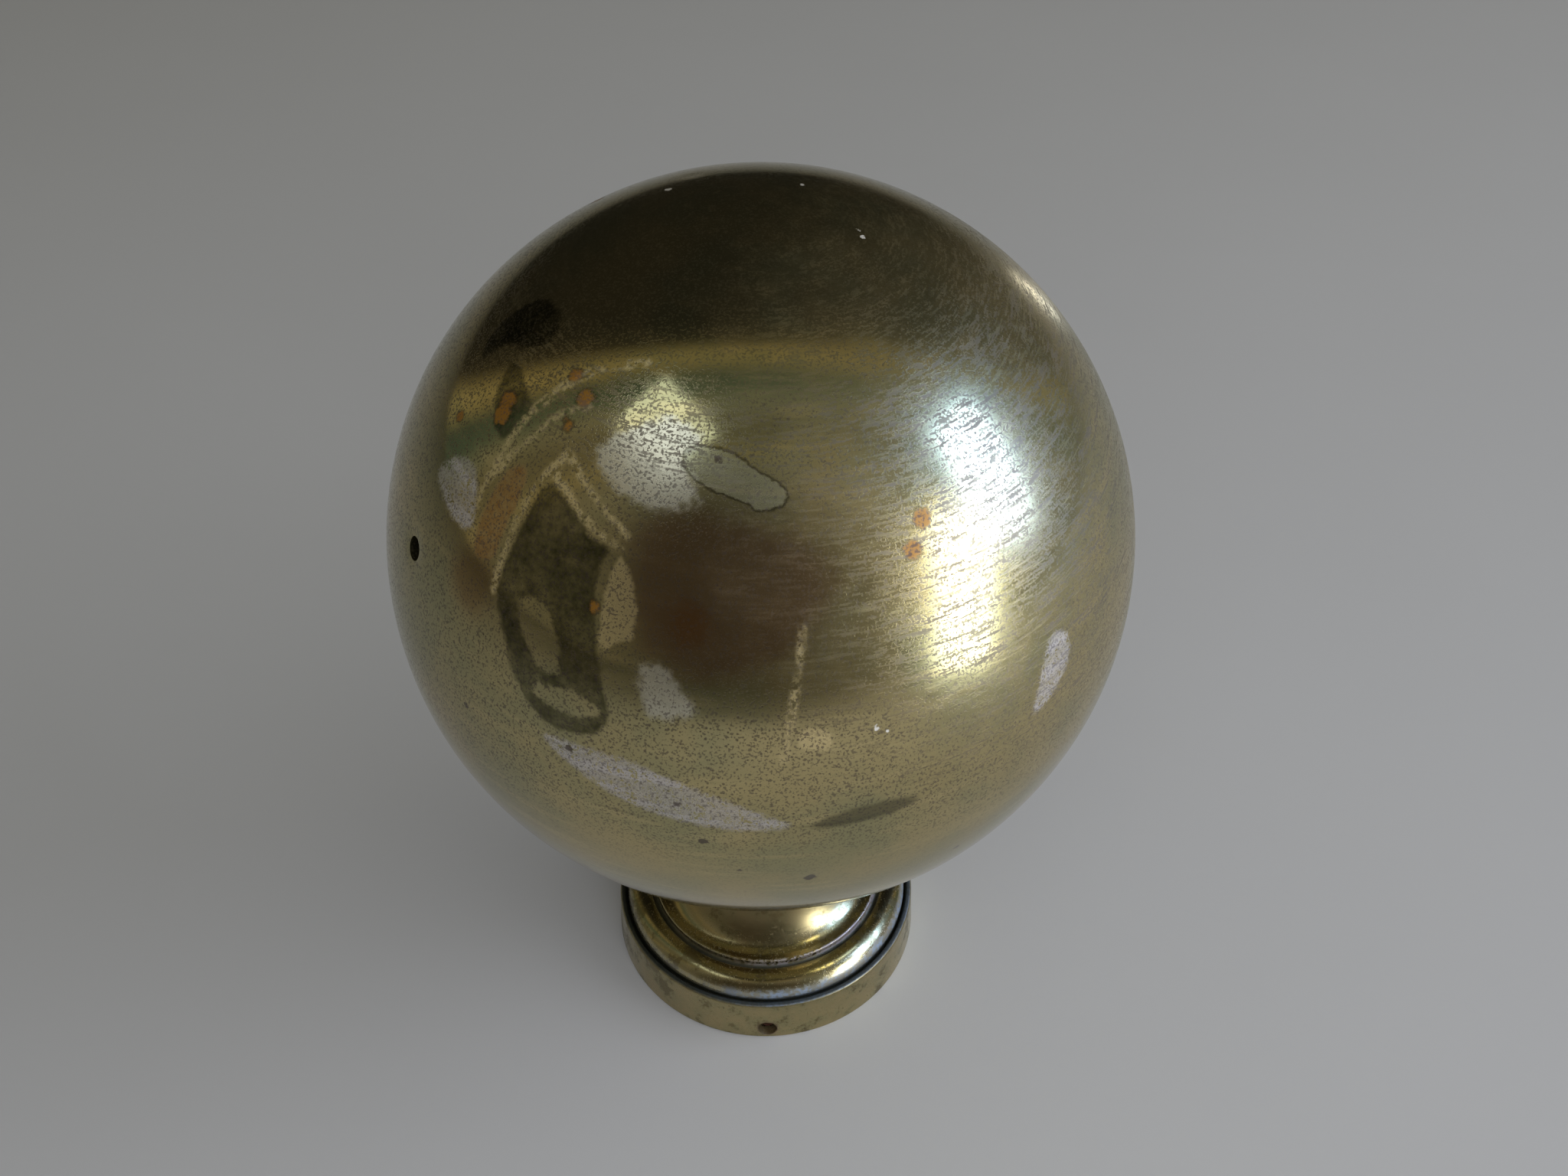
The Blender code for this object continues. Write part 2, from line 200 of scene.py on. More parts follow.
def thread(outline, columns, pitch, depth, count_from, count_to):
    """Swept grid whose rows from one index to another rise and fall as a thread.

    The radius grows by depth times a triangle wave of z / pitch - a / (2 pi), and fades in and out at the ends.
    """
    grid = swept(outline, columns)
    rows = slice(count_from, count_to)
    turn = np.linspace(0.0, 1.0, columns, endpoint=False)
    phase = grid[rows, :, 2] / pitch - turn
    wave = np.abs(2.0 * (phase - np.floor(phase + 0.5))) * 2.0 - 1.0
    fade = np.sin(np.linspace(0.0, pi, wave.shape[0]))[:, None] ** 0.25
    r = np.hypot(grid[rows, :, 0], grid[rows, :, 1])
    grid[rows, :, :2] *= ((r + 0.5 * depth * wave * fade) / r)[..., None]
    return grid


def reach(normals, marks, closed):
    """Distance over the ball, in millimetres, from a line through marks given by latitude and bearing.

    Each point is laid flat round the middle of the marks: its angle from there times the ball's radius, in its own
    direction. The corners are rounded by cutting each stretch twice at a quarter and three quarters. The distance
    is the least over the stretches, and inside a closed line, where a ray crosses it an odd number of times, it is
    turned to minus.
    """
    corners = np.array([point_at(*mark) for mark in marks])
    middle = corners.mean(axis=0)
    middle = middle / np.linalg.norm(middle)
    east = np.cross((0.0, 0.0, 1.0), middle)
    east = east / np.linalg.norm(east)
    north = np.cross(middle, east)

    def flat(points):
        """Points on the unit ball, laid flat in millimetres."""
        u, v, w = points @ east, points @ north, points @ middle
        angle = np.arccos(np.clip(w, -1.0, 1.0))
        return np.stack([u, v], axis=1) * (BALL_RADIUS * angle / np.maximum(np.hypot(u, v), 1e-9))[:, None]

    line_points = flat(corners)
    for _ in range(2):
        after = np.roll(line_points, -1, axis=0)
        cuts = np.stack([0.75 * line_points + 0.25 * after, 0.25 * line_points + 0.75 * after], axis=1)
        cuts = cuts.reshape(-1, 2)
        line_points = cuts if closed else np.vstack([line_points[:1], cuts[1:-3], line_points[-1:]])
    start, end = line_points, np.roll(line_points, -1, axis=0)
    if not closed:
        start, end = start[:-1], end[:-1]
    far_away, same_side = 20.0, 0.55
    away = np.full(len(normals), far_away)
    near = normals @ middle > same_side
    spots = flat(normals[near])[:, None, :]
    along = (end - start)[None]
    share = np.clip(((spots - start) * along).sum(-1) / (along ** 2).sum(-1), 0.0, 1.0)
    least = np.linalg.norm(spots - start - share[..., None] * along, axis=-1).min(axis=1)
    if closed:
        x, y = spots[..., 0], spots[..., 1]
        crosses = (start[:, 1] > y) != (end[:, 1] > y)
        rise = np.where(end[:, 1] == start[:, 1], 1e-9, end[:, 1] - start[:, 1])
        crosses &= x < start[:, 0] + (y - start[:, 1]) * (end[:, 0] - start[:, 0]) / rise
        least = np.where(crosses.sum(axis=1) % 2 == 1, -least, least)
    away[near] = least
    return away


def skin(name, grid, closed, smooth=35.0):
    """Object from a grid (row, column, xyz) in millimetres whose columns go round.

    The rows join up if closed. Otherwise the first and last rows shrink to one point each, on the axis.
    """
    rows, columns = grid.shape[:2]
    index = np.arange(rows * columns).reshape(rows, columns)
    right = np.roll(index, -1, axis=1)
    if closed:
        below, below_right = np.roll(index, -1, axis=0), np.roll(right, -1, axis=0)
        quads = np.stack([index, below, below_right, right], axis=-1).reshape(-1, 4)
        points, fans = grid.reshape(-1, 3), []
    else:
        quads = np.stack([index[1:-2], index[2:-1], right[2:-1], right[1:-2]], axis=-1).reshape(-1, 4) - columns + 1
        points = np.vstack([grid[:1, 0], grid[1:-1].reshape(-1, 3), grid[-1:, 0]])
        last = len(points) - 1
        first_row, last_row = np.arange(columns) + 1, np.arange(columns) + last - columns
        top = np.stack([np.zeros(columns, int), first_row, np.roll(first_row, -1)], axis=-1)
        bottom = np.stack([last_row, np.full(columns, last), np.roll(last_row, -1)], axis=-1)
        fans = top.tolist() + bottom.tolist()
    mesh = bpy.data.meshes.new(name)
    mesh.from_pydata((points * MM).tolist(), [], quads.tolist() + fans)
    thing = bpy.data.objects.new(name, mesh)
    bpy.context.scene.collection.objects.link(thing)
    soften(thing, smooth)
    return thing


def soften(thing, smooth):
    """Shade a piece smooth, with edges sharper than an angle in degrees left crisp."""
    thing.data.shade_smooth()
    thing.data.set_sharp_from_angle(angle=radians(smooth))


def drill(thing, start, end, radius, sides=48):
    """Cut a round hole between two points, in millimetres."""
    start, end = Vector(start) * MM, Vector(end) * MM
    ring = swept(np.array([[0.0, 1.0], [radius, 1.0], [radius, 0.0], [0.0, 0.0]]), sides)
    cutter = skin("drill", ring, False)
    axis = end - start
    turn = axis.to_track_quat("Z", "Y").to_matrix().to_4x4()
    stretch = Matrix.Diagonal((1.0, 1.0, axis.length / MM, 1.0))
    cutter.data.transform(Matrix.Translation(start) @ turn @ stretch)
    carve(thing, cutter)


def mill(thing, centre, size, turn):
    """Cut a box-shaped slot, in millimetres, turned by a matrix."""
    corner = np.array([[-1, -1, -1], [1, -1, -1], [1, 1, -1], [-1, 1, -1],
                       [-1, -1, 1], [1, -1, 1], [1, 1, 1], [-1, 1, 1]]) / 2.0
    faces = [(3, 2, 1, 0), (4, 5, 6, 7), (0, 1, 5, 4), (1, 2, 6, 5), (2, 3, 7, 6), (3, 0, 4, 7)]
    mesh = bpy.data.meshes.new("mill")
    mesh.from_pydata((corner * np.array(size) * MM).tolist(), [], faces)
    mesh.transform(Matrix.Translation(Vector(centre) * MM) @ turn)
    cutter = bpy.data.objects.new("mill", mesh)
    bpy.context.scene.collection.objects.link(cutter)
    carve(thing, cutter)


def carve(thing, cutter):
    """Take a cutter away from a piece for good, and remove the cutter."""
    boolean = thing.modifiers.new("carve", "BOOLEAN")
    boolean.operation = "DIFFERENCE"
    boolean.solver = "EXACT"
    boolean.object = cutter
    bpy.context.view_layer.update()
    carved = bpy.data.meshes.new_from_object(thing.evaluated_get(bpy.context.evaluated_depsgraph_get()))
    thing.modifiers.clear()
    thing.data = carved
    bpy.data.objects.remove(cutter, do_unlink=True)


def finish_piece(thing, finish, body, slot, *nodes):
    """Give a piece its finish, the body it rides on and the nodes it stands for. The slot is not used."""
    thing.data.materials.clear()
    thing.data.materials.append(finish)
    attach(thing, body)
    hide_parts(*nodes)


# Shading


class Wire:
    """An output of a node. Arithmetic on it adds Math nodes."""

    def __init__(self, board, socket):
        self.board = board
        self.socket = socket

    def __add__(self, other):
        return self.board.math("ADD", self, other)

    def __radd__(self, other):
        return self.board.math("ADD", other, self)

    def __sub__(self, other):
        return self.board.math("SUBTRACT", self, other)

    def __rsub__(self, other):
        return self.board.math("SUBTRACT", other, self)

    def __mul__(self, other):
        return self.board.math("MULTIPLY", self, other)

    def __rmul__(self, other):
        return self.board.math("MULTIPLY", other, self)

    def __truediv__(self, other):
        return self.board.math("DIVIDE", self, other)

    def either(self, other):
        """The larger of two values."""
        return self.board.math("MAXIMUM", self, other)

    def both(self, other):
        """The smaller of two values."""
        return self.board.math("MINIMUM", self, other)


class Board:
    """The nodes of one material or world."""

    def __init__(self, tree):
        self.tree = tree

    def node(self, kind, settings=None, inputs=None, output=0):
        """Add a node: its settings first, then the values or links of its inputs."""
        made = self.tree.nodes.new(kind)
        for name, value in (settings or {}).items():
            if name == "stops":
                self.set_stops(made.color_ramp, value)
            else:
                setattr(made, name, value)
        for name, value in (inputs or {}).items():
            self.feed(made.inputs[name], value)
        return Wire(self, made.outputs[output])

    def set_stops(self, ramp, stops):
        """Fill a ramp from (position, colour) pairs."""
        while len(ramp.elements) < len(stops):
            ramp.elements.new(1.0)
        for element, (position, shade) in zip(ramp.elements, stops):
            element.position = position
            element.color = (*shade, 1.0)

    def feed(self, socket, value):
        """Link a wire to an input, or set its value."""
        if isinstance(value, Wire):
            self.tree.links.new(value.socket, socket)
        elif socket.type == "RGBA":
            socket.default_value = (*value[:3], 1.0)
        else:
            socket.default_value = value

    def math(self, operation, *values):
        """A Math node."""
        return self.node("ShaderNodeMath", {"operation": operation}, dict(enumerate(values)))

    def split(self, value):
        """The three parts of a vector."""
        return [self.node("ShaderNodeSeparateXYZ", None, {0: value}, part) for part in range(3)]

    def vector(self, operation, *values, output=0):
        """A Vector Math node."""
        return self.node("ShaderNodeVectorMath", {"operation": operation}, dict(enumerate(values)), output)

    def mix(self, share, first, second):
        """Colour between two others."""
        settings = {"data_type": "RGBA"}
        return self.node("ShaderNodeMix", settings, {0: share, 6: first, 7: second}, 2)

    def ease(self, value, low, high):
        """0 below low, 1 above high and smooth between. low may be the larger, which turns it round."""
        settings = {"interpolation_type": "SMOOTHSTEP"}
        return self.node("ShaderNodeMapRange", settings, {"Value": value, "From Min": low, "From Max": high})

    def place(self, centre=(0.0, 0.0, 0.0)):
        """Object coordinates in millimetres from a centre."""
        coordinate = self.node("ShaderNodeTexCoord", output="Object")
        shift = [-value for value in centre]
        scale = (1.0 / MM, 1.0 / MM, 1.0 / MM)
        return self.node("ShaderNodeMapping", None, {"Vector": coordinate, "Location": shift, "Scale": scale})

    def drawn_out(self, at, stretch):
        """Coordinates divided by stretch, which lengthens a pattern so much."""
        return self.node("ShaderNodeMapping", {"vector_type": "TEXTURE"}, {"Vector": at, "Scale": stretch})

    def noise(self, at, size, detail=2.0, roughness=0.5, distortion=0.0):
        """Smooth noise from 0 to 1 with features of a size in millimetres."""
        inputs = {"Vector": at, "Scale": 1.0 / size, "Detail": detail, "Roughness": roughness,
                  "Distortion": distortion}
        return self.node("ShaderNodeTexNoise", None, inputs)

    def dots(self, at, pitch, radius, soft):
        """Round dots, one to a cell of a pitch in millimetres, 1 inside and 0 outside."""
        near = self.node("ShaderNodeTexVoronoi", None, {"Vector": at, "Scale": 1.0 / pitch, "Randomness": 1.0})
        return self.ease(near * pitch, radius + soft, radius - soft)

    def field(self, name):
        """A value kept on the mesh's points."""
        return self.node("ShaderNodeAttribute", {"attribute_name": name}, output="Fac")

    def spun(self, at, turn_radius):
        """Coordinates that run along the marks of spinning: bearing round a small circle, and latitude as height."""
        x, y, z = self.split(self.vector("NORMALIZE", at))
        round_axis = self.math("SQRT", x * x + y * y + 0.000001)
        latitude = self.math("ARCSINE", z.both(1.0).either(-1.0)) * BALL_RADIUS
        inputs = {0: x / round_axis * turn_radius, 1: y / round_axis * turn_radius, 2: latitude}
        return self.node("ShaderNodeCombineXYZ", None, inputs), latitude

    def spot(self, at, centre, radius, soft, wobble=0.0):
        """1 within a radius of a point, in millimetres, with an edge as soft as soft and as uneven as wobble."""
        away = self.vector("DISTANCE", at, centre, output=1)
        return self.ease(away + wobble, radius + soft, radius - soft)

    def spots(self, at, marks, soft, wobble):
        """The largest of the spots at marks on the ball, given by latitude, bearing and radius."""
        return reduce(Wire.either, [self.spot(at, on_ball(*mark[:2]), mark[2], soft, wobble) for mark in marks])

    def bump(self, height, depth, strength=1.0):
        """A normal from a height of 0 to 1, whose full depth is in millimetres."""
        return self.node("ShaderNodeBump", None, {"Height": height, "Distance": depth * MM, "Strength": strength})


def metal(name, metallic=1.0):
    """A new metal, as its board and its shader."""
    material = bpy.data.materials.new(name)
    material.use_nodes = True
    shader = material.node_tree.nodes["Principled BSDF"]
    shader.inputs["Metallic"].default_value = metallic
    return material, Board(material.node_tree), shader


def on_ball(latitude, bearing):
    """Point on the ball, in millimetres from its centre."""
    return point_at(latitude, bearing, BALL_RADIUS).tolist()


# Marks on the ball: latitude and bearing in degrees, then sizes in millimetres
ORANGE_SPOTS = ((55.6, 224.4, 0.8), (53.7, 230.0, 1.05), (49.7, 229.8, 0.6), (50.3, 228.5, 0.35), (47.6, 213.0, 1.25),
                (45.8, 213.8, 1.25), (40.7, 203.8, 0.6), (29.8, 245.3, 0.6), (40.4, 296.7, 1.0), (37.0, 293.7, 1.0),
                (8.0, 118.0, 1.1), (31.0, 82.0, 0.8), (29.0, 84.5, 0.5), (58.0, 140.0, 0.9), (-12.0, 20.0, 0.9))
BROWN_CLOUDS = ((30.0, 259.6, 2.6), (25.5, 223.5, 3.6), (27.0, 20.0, 4.5), (44.0, 128.0, 5.0), (-16.0, 95.0, 5.5),
                (-22.0, 330.0, 3.5))
DENTS = ((34.6, 284.1, 1.3, 0.07), (-3.5, 261.7, 0.9, 0.06), (-13.4, 276.2, 1.2, 0.07), (15.1, 284.5, 1.0, 0.05),
         (62.0, 300.0, 2.6, 0.06), (10.0, 30.0, 1.8, 0.10), (-25.0, 120.0, 2.4, 0.12), (48.0, 95.0, 1.5, 0.08),
         (-32.0, 205.0, 1.6, 0.08), (12.0, 160.0, 1.1, 0.08), (71.0, 120.0, 1.3, 0.05), (51.0, 334.0, 2.0, 0.06))
PALE_NICKS = ((73.3, 139.2, 0.30), (78.8, 56.8, 0.28), (75.8, 345.7, 0.26), (76.3, 350.0, 0.22), (15.0, 284.8, 0.26),
              (14.3, 286.2, 0.24), (44.0, 15.0, 0.3), (20.0, 70.0, 0.3), (-8.0, 150.0, 0.3))
DARK_NICKS = ((-10.4, 266.6, 0.35), (-13.4, 276.2, 0.65), (-3.5, 261.7, 0.5), (3.6, 258.5, 0.4), (8.6, 243.5, 0.4),
              (6.0, 225.0, 0.4), (-18.0, 300.0, 0.4), (-24.0, 240.0, 0.5), (18.0, 120.0, 0.6), (-8.0, 60.0, 0.7),
              (50.6, 262.0, 0.3))

# Outlines of patches and lines on the ball, by latitude and bearing in degrees
OLIVE_PATCHES = (
    ((43, 231), (40.5, 238), (38, 243), (38, 247), (35, 245), (31.5, 245), (24, 246.5), (20, 248), (17, 249.5),
     (13.5, 249), (11.5, 246.5), (11, 240), (13, 237), (16.5, 234.5), (20, 232), (26, 228.5), (33, 229), (38, 229.5)),
    ((52.5, 206), (50, 217), (49, 219.5), (43, 218.5), (44, 213), (48, 207)),
    ((61, 200), (58, 212), (54, 208), (52, 200), (47, 197), (50, 192), (57, 191)),
    ((20, 60), (24, 66), (21, 76), (15, 80), (10, 74), (13, 63)),
    ((-6, 150), (-2, 158), (-5, 168), (-12, 170), (-14, 158)),
    ((38, 150), (41, 160), (36, 170), (30, 166), (31, 154)),
    ((-20, 20), (-17, 30), (-22, 40), (-28, 34), (-27, 22)),
)
GAPS_IN_OLIVE = (
    ((27.5, 233.3), (28, 237), (25, 240.3), (19, 241.8), (18.7, 239), (21.5, 235.6), (24.5, 233.7)),
    ((16.6, 237), (17.7, 242), (17.3, 246.5), (15.4, 248.5), (14.4, 244), (14.4, 239)),
)
MAROON_PATCHES = (
    ((41, 248.5), (43, 254), (43.5, 262), (42, 270), (40, 277), (35, 280), (30, 277), (26, 271), (22.5, 264),
     (25, 257), (26.5, 252.3), (32, 252), (36, 249.5)),
    ((50, 110), (52, 120), (47, 128), (42, 120), (44, 111)),
)
PALE_PATCHES = (
    ((48, 236.5), (53, 244), (55.5, 255.5), (52, 258.5), (50.5, 255), (47.5, 259), (45, 260), (43.5, 254.5),
     (43, 249.5), (45.5, 241)),
    ((24.5, 252), (25, 256.5), (21.5, 258), (20, 261.5), (18, 261), (17, 255), (20.5, 253)),
    ((28, 100), (33, 106), (30, 112), (25, 108)),
)
STAINS = (
    ((51, 255), (52, 258.5), (51.3, 264), (49.8, 267.5), (48.5, 271), (47.5, 274), (46, 275), (44.6, 272),
     (44.5, 269), (46, 266.5), (46.4, 262.5), (47.3, 259), (49, 255.5)),
    ((4, 100), (7, 104), (5, 110), (1, 108), (0, 102)),
)
STRIPS = (
    ((42.5, 223.5), (42.5, 226.5), (40, 227.4), (35.5, 227), (32, 227), (29, 226), (28.4, 222), (31.4, 221),
     (35.6, 221), (39.4, 221.7)),
)
GOLD_PATCHES = (
    ((37.5, 247.5), (36.5, 249), (33.5, 251), (30, 252), (26.5, 252), (26.5, 249.5), (23.5, 247), (29, 246.5),
     (32, 246.5), (35, 246.7)),
    ((17, 274.5), (16.5, 279), (13, 279.3), (13.5, 274)),
)
WORN_LINES = (
    ((61, 240), (57, 227), (52.5, 222.5), (47.5, 219.5), (42, 219), (37, 218.5), (34.5, 219.5)),
    ((53, 232), (50.5, 226.5), (46.5, 224), (43, 221.5), (37.5, 219)),
    ((46.5, 232.5), (43.5, 230.5), (41, 229), (37, 228.3), (33, 228.3), (28.5, 227.8), (26, 228)),
    ((43.8, 231), (41.7, 237), (39.4, 241.6), (38.5, 245), (38, 247.5)),
    ((46.5, 233), (44, 238.5), (41.5, 244), (39.5, 248.5)),
    ((30, 275.7), (24, 274.6), (18.5, 273.7), (12, 272.4)),
)
FILM_PATCHES = (
    ((9.8, 239), (10, 246), (10, 252), (8.5, 257), (6.5, 262), (4.5, 267), (2, 271), (0.3, 274.5), (-0.8, 271),
     (-0.6, 264), (0.4, 258), (2.2, 251), (4.8, 245.5), (8, 240)),
    ((33, 205), (38, 210), (38.5, 216), (35, 219), (31, 221), (30, 217), (31, 211)),
    ((5, 308), (10, 317), (16, 318), (18.5, 313.5), (12, 310.5)),
)
OLIVE_CRESCENTS = (
    ((-1, 275), (1.5, 277), (2.5, 282), (2.6, 287), (1.4, 291.5), (0.2, 289), (-0.7, 283)),
)
FIELDS = {"olive": (OLIVE_PATCHES, True), "gaps": (GAPS_IN_OLIVE, True), "maroon": (MAROON_PATCHES, True),
          "pale": (PALE_PATCHES, True), "stain": (STAINS, True), "strip": (STRIPS, True),
          "gold": (GOLD_PATCHES, True), "worn": (WORN_LINES, False), "film": (FILM_PATCHES, True),
          "crescent": (OLIVE_CRESCENTS, True)}


def ball_finish(sizes):
    """Worn brass: cloudy tones, patches with bright borders, spots, spun and loose pitting, and a dull film."""
    material, board, shader = metal("old_ball_brass")
    at = board.place((0.0, 0.0, BALL_Z))
    cloud = board.noise(at, 16.0, 4.0, 0.55)
    patch = board.noise(at, 6.5, 5.0, 0.62)
    grain = board.noise(at, 0.9, 3.0, 0.6)
    fine = board.noise(at, 0.30, 2.0, 0.55)
    wander = (patch - 0.5) * 7.0
    ragged = (grain - 0.5) * 3.6
    edge = wander * 0.45 + ragged * 0.45
    spun, latitude = board.spun(at, 4.5)
    streak = board.noise(spun, 0.33, 3.0, 0.62)
    broad = board.noise(spun, 1.6, 3.0, 0.55)

    tone = board.mix(board.ease(cloud, 0.35, 0.65), sizes.green, sizes.brass)
    tone = board.mix(board.ease(broad, 0.52, 0.68) * 0.35, tone, (0.60, 0.49, 0.24))

    # Soft brown clouds, and the maroon patch
    cloudy = board.spots(at, BROWN_CLOUDS, 1.8, wander * 0.6 + ragged * 0.3)
    tone = board.mix(cloudy * 0.55, tone, (0.24, 0.125, 0.040))
    # The maroon patch at the front, with its red core, is tarnish and also a painted dark reflection of the front
    maroon = board.ease(board.field("maroon") + wander * 0.8 + ragged * 0.4, 2.2, -1.8)
    tone = board.mix(maroon * 0.62, tone, sizes.maroon)
    core = board.spot(at, on_ball(30.0, 259.6), 2.2, 1.2, wander * 0.5)
    tone = board.mix(core * 0.55, tone, (0.34, 0.175, 0.060))

    # Dark olive patches with their gaps, pale and gold patches, and the brown strip
    olive = board.ease(board.field("olive") + edge * 0.8, 0.40, -0.45)
    olive = olive * board.ease(board.field("gaps") + edge * 0.7, -0.40, 0.40)
    tone = board.mix(olive * (0.78 + (patch - 0.5) * 1.4 + (grain - 0.5) * 0.8), tone, sizes.olive)
    # The first pale patch is faded brass and also a painted highlight where the small window light reflects
    pale = board.ease(board.field("pale") + edge * 1.4, 0.7, -0.9)
    tone = board.mix(pale * 0.60, tone, sizes.silver)
    gold = board.ease(board.field("gold") + edge * 0.6, 0.3, -0.4)
    tone = board.mix(gold * 0.75, tone, sizes.worn)
    strip = board.ease(board.field("strip") + edge * 0.6, 0.35, -0.35)
    tone = board.mix(strip * (0.70 + (grain - 0.5) * 0.9), tone, (0.30, 0.150, 0.036))
    worn = board.ease(board.field("worn") + edge * 0.5, 0.85, 0.15) * board.ease(grain, 0.38, 0.54)
    tone = board.mix(worn * 0.75, tone, sizes.worn)

    # Orange spots with dark rims
    hearts = []
    for spot_latitude, bearing, radius in ORANGE_SPOTS:
        centre = on_ball(spot_latitude, bearing)
        rim = board.spot(at, centre, radius + 0.20, 0.20, ragged * 0.35)
        tone = board.mix(rim * 0.6, tone, sizes.brown)
        heart = board.spot(at, centre, radius - 0.05, 0.25, ragged * 0.35)
        tone = board.mix(heart * 0.9, tone, sizes.orange)
        hearts.append(heart)
    hearts = reduce(Wire.either, hearts)

    # Grey-green stain with a darker outline
    stain_at = board.field("stain") + edge * 0.55
    stain = board.ease(stain_at, 0.12, -0.12)
    border = board.ease(stain_at, 0.42, 0.12) - stain
    tone = board.mix(border.either(0.0) * 0.75, tone, (0.075, 0.070, 0.040))
    tone = board.mix(stain * 0.40, tone, (0.30, 0.33, 0.25))

    # Grey-lilac film, firm along its lower edge, and the olive crescent beside it
    film_at = board.field("film")
    film = board.ease(film_at + ragged * 0.5, 0.30, -0.60) * board.ease(grain * 0.5 + fine * 0.5, 0.39, 0.48)
    film = film * (0.65 + board.ease(broad, 0.42, 0.58) * 0.35)
    tone = board.mix(film * 0.80, tone, sizes.grey)
    crescent = board.ease(board.field("crescent") + edge * 0.4, 0.45, -0.55)
    tone = board.mix(crescent * 0.70, tone, (0.085, 0.078, 0.045))

    # Pitting: drawn out along the spinning to the right and at the back, and loose dots everywhere above the seam
    way = board.vector("NORMALIZE", at)
    facing = board.vector("DOT_PRODUCT", way, point_at(34.0, 330.0).tolist(), output=1)
    crown = board.ease(latitude + wander, 47.0, 57.0)
    right = board.ease(facing + (patch - 0.5) * 0.35, 0.52, 0.90) * (1.0 - crown * 0.5)
    above = board.ease(latitude + wander, 38.0, 44.0) * board.ease(latitude + wander, 54.0, 48.0)
    zone = right.either(above * board.ease(facing, -0.2, 0.5) * 0.85) * board.ease(latitude + wander, -5.0, 6.0)
    drawn = board.ease(streak * 0.62 + fine * 0.38, 0.505, 0.545)
    lines = drawn * zone * board.ease(broad, 0.34, 0.55)
    loose = board.ease(fine * 0.78 + grain * 0.22, 0.540, 0.585)
    scatter = 0.85 - crown * (0.45 - right * 0.35) + pale * 0.1 + gold * 0.15
    dots = board.dots(at, 1.15, 0.17, 0.06).either(board.dots(at, 0.75, 0.12, 0.05))
    low_free = board.ease(latitude + wander, -12.0, 2.0) * 0.75 + 0.25
    pits = lines.either(loose * scatter.both(1.0) * low_free).either(dots * low_free * (1.0 - crown * 0.6))
    tone = board.mix(pits * 0.72, tone, sizes.speck)

    tone = board.mix(board.spots(at, DARK_NICKS, 0.15, ragged * 0.5) * 0.85, tone, sizes.speck)
    bright = board.spots(at, PALE_NICKS, 0.10, ragged * 0.5)
    tone = board.mix(bright * 0.9, tone, (0.85, 0.82, 0.76))

    # Faint solder line at the seam
    seam = board.ease(board.math("ABSOLUTE", latitude + wander * 0.04), 0.20, 0.05) * board.ease(patch, 0.42, 0.60)
    tone = board.mix(seam * 0.30, tone, sizes.brown)
    board.feed(shader.inputs["Base Color"], tone)

    # Less metal where the surface is dull, and rougher there
    veil = film * 0.50 + pits * 0.10 + lines * 0.14 + bright * 0.5 + right * 0.16 + worn * 0.32
    veil = veil + hearts * 0.40 + strip * 0.3 + pale * 0.12 + gold * 0.18 + stain * 0.15 + 0.03
    board.feed(shader.inputs["Metallic"], 1.0 - veil.both(0.75))
    rough = 0.10 + right * 0.13 + (streak - 0.5) * zone * 0.35 + (cloud - 0.5) * 0.06 + film * 0.25 + pits * 0.18
    rough = rough + worn * 0.20 + hearts * 0.25 + strip * 0.12 + stain * 0.06
    board.feed(shader.inputs["Roughness"], (rough + bright * 0.3 + pale * 0.16).either(0.06).both(0.75))
    relief = streak * zone * 0.6 - pits * 0.5 + fine * 0.15 - seam * 0.3 - bright * 0.6 - olive * 0.15
    board.feed(shader.inputs["Normal"], board.bump(relief, 0.018, 0.5))
    return material


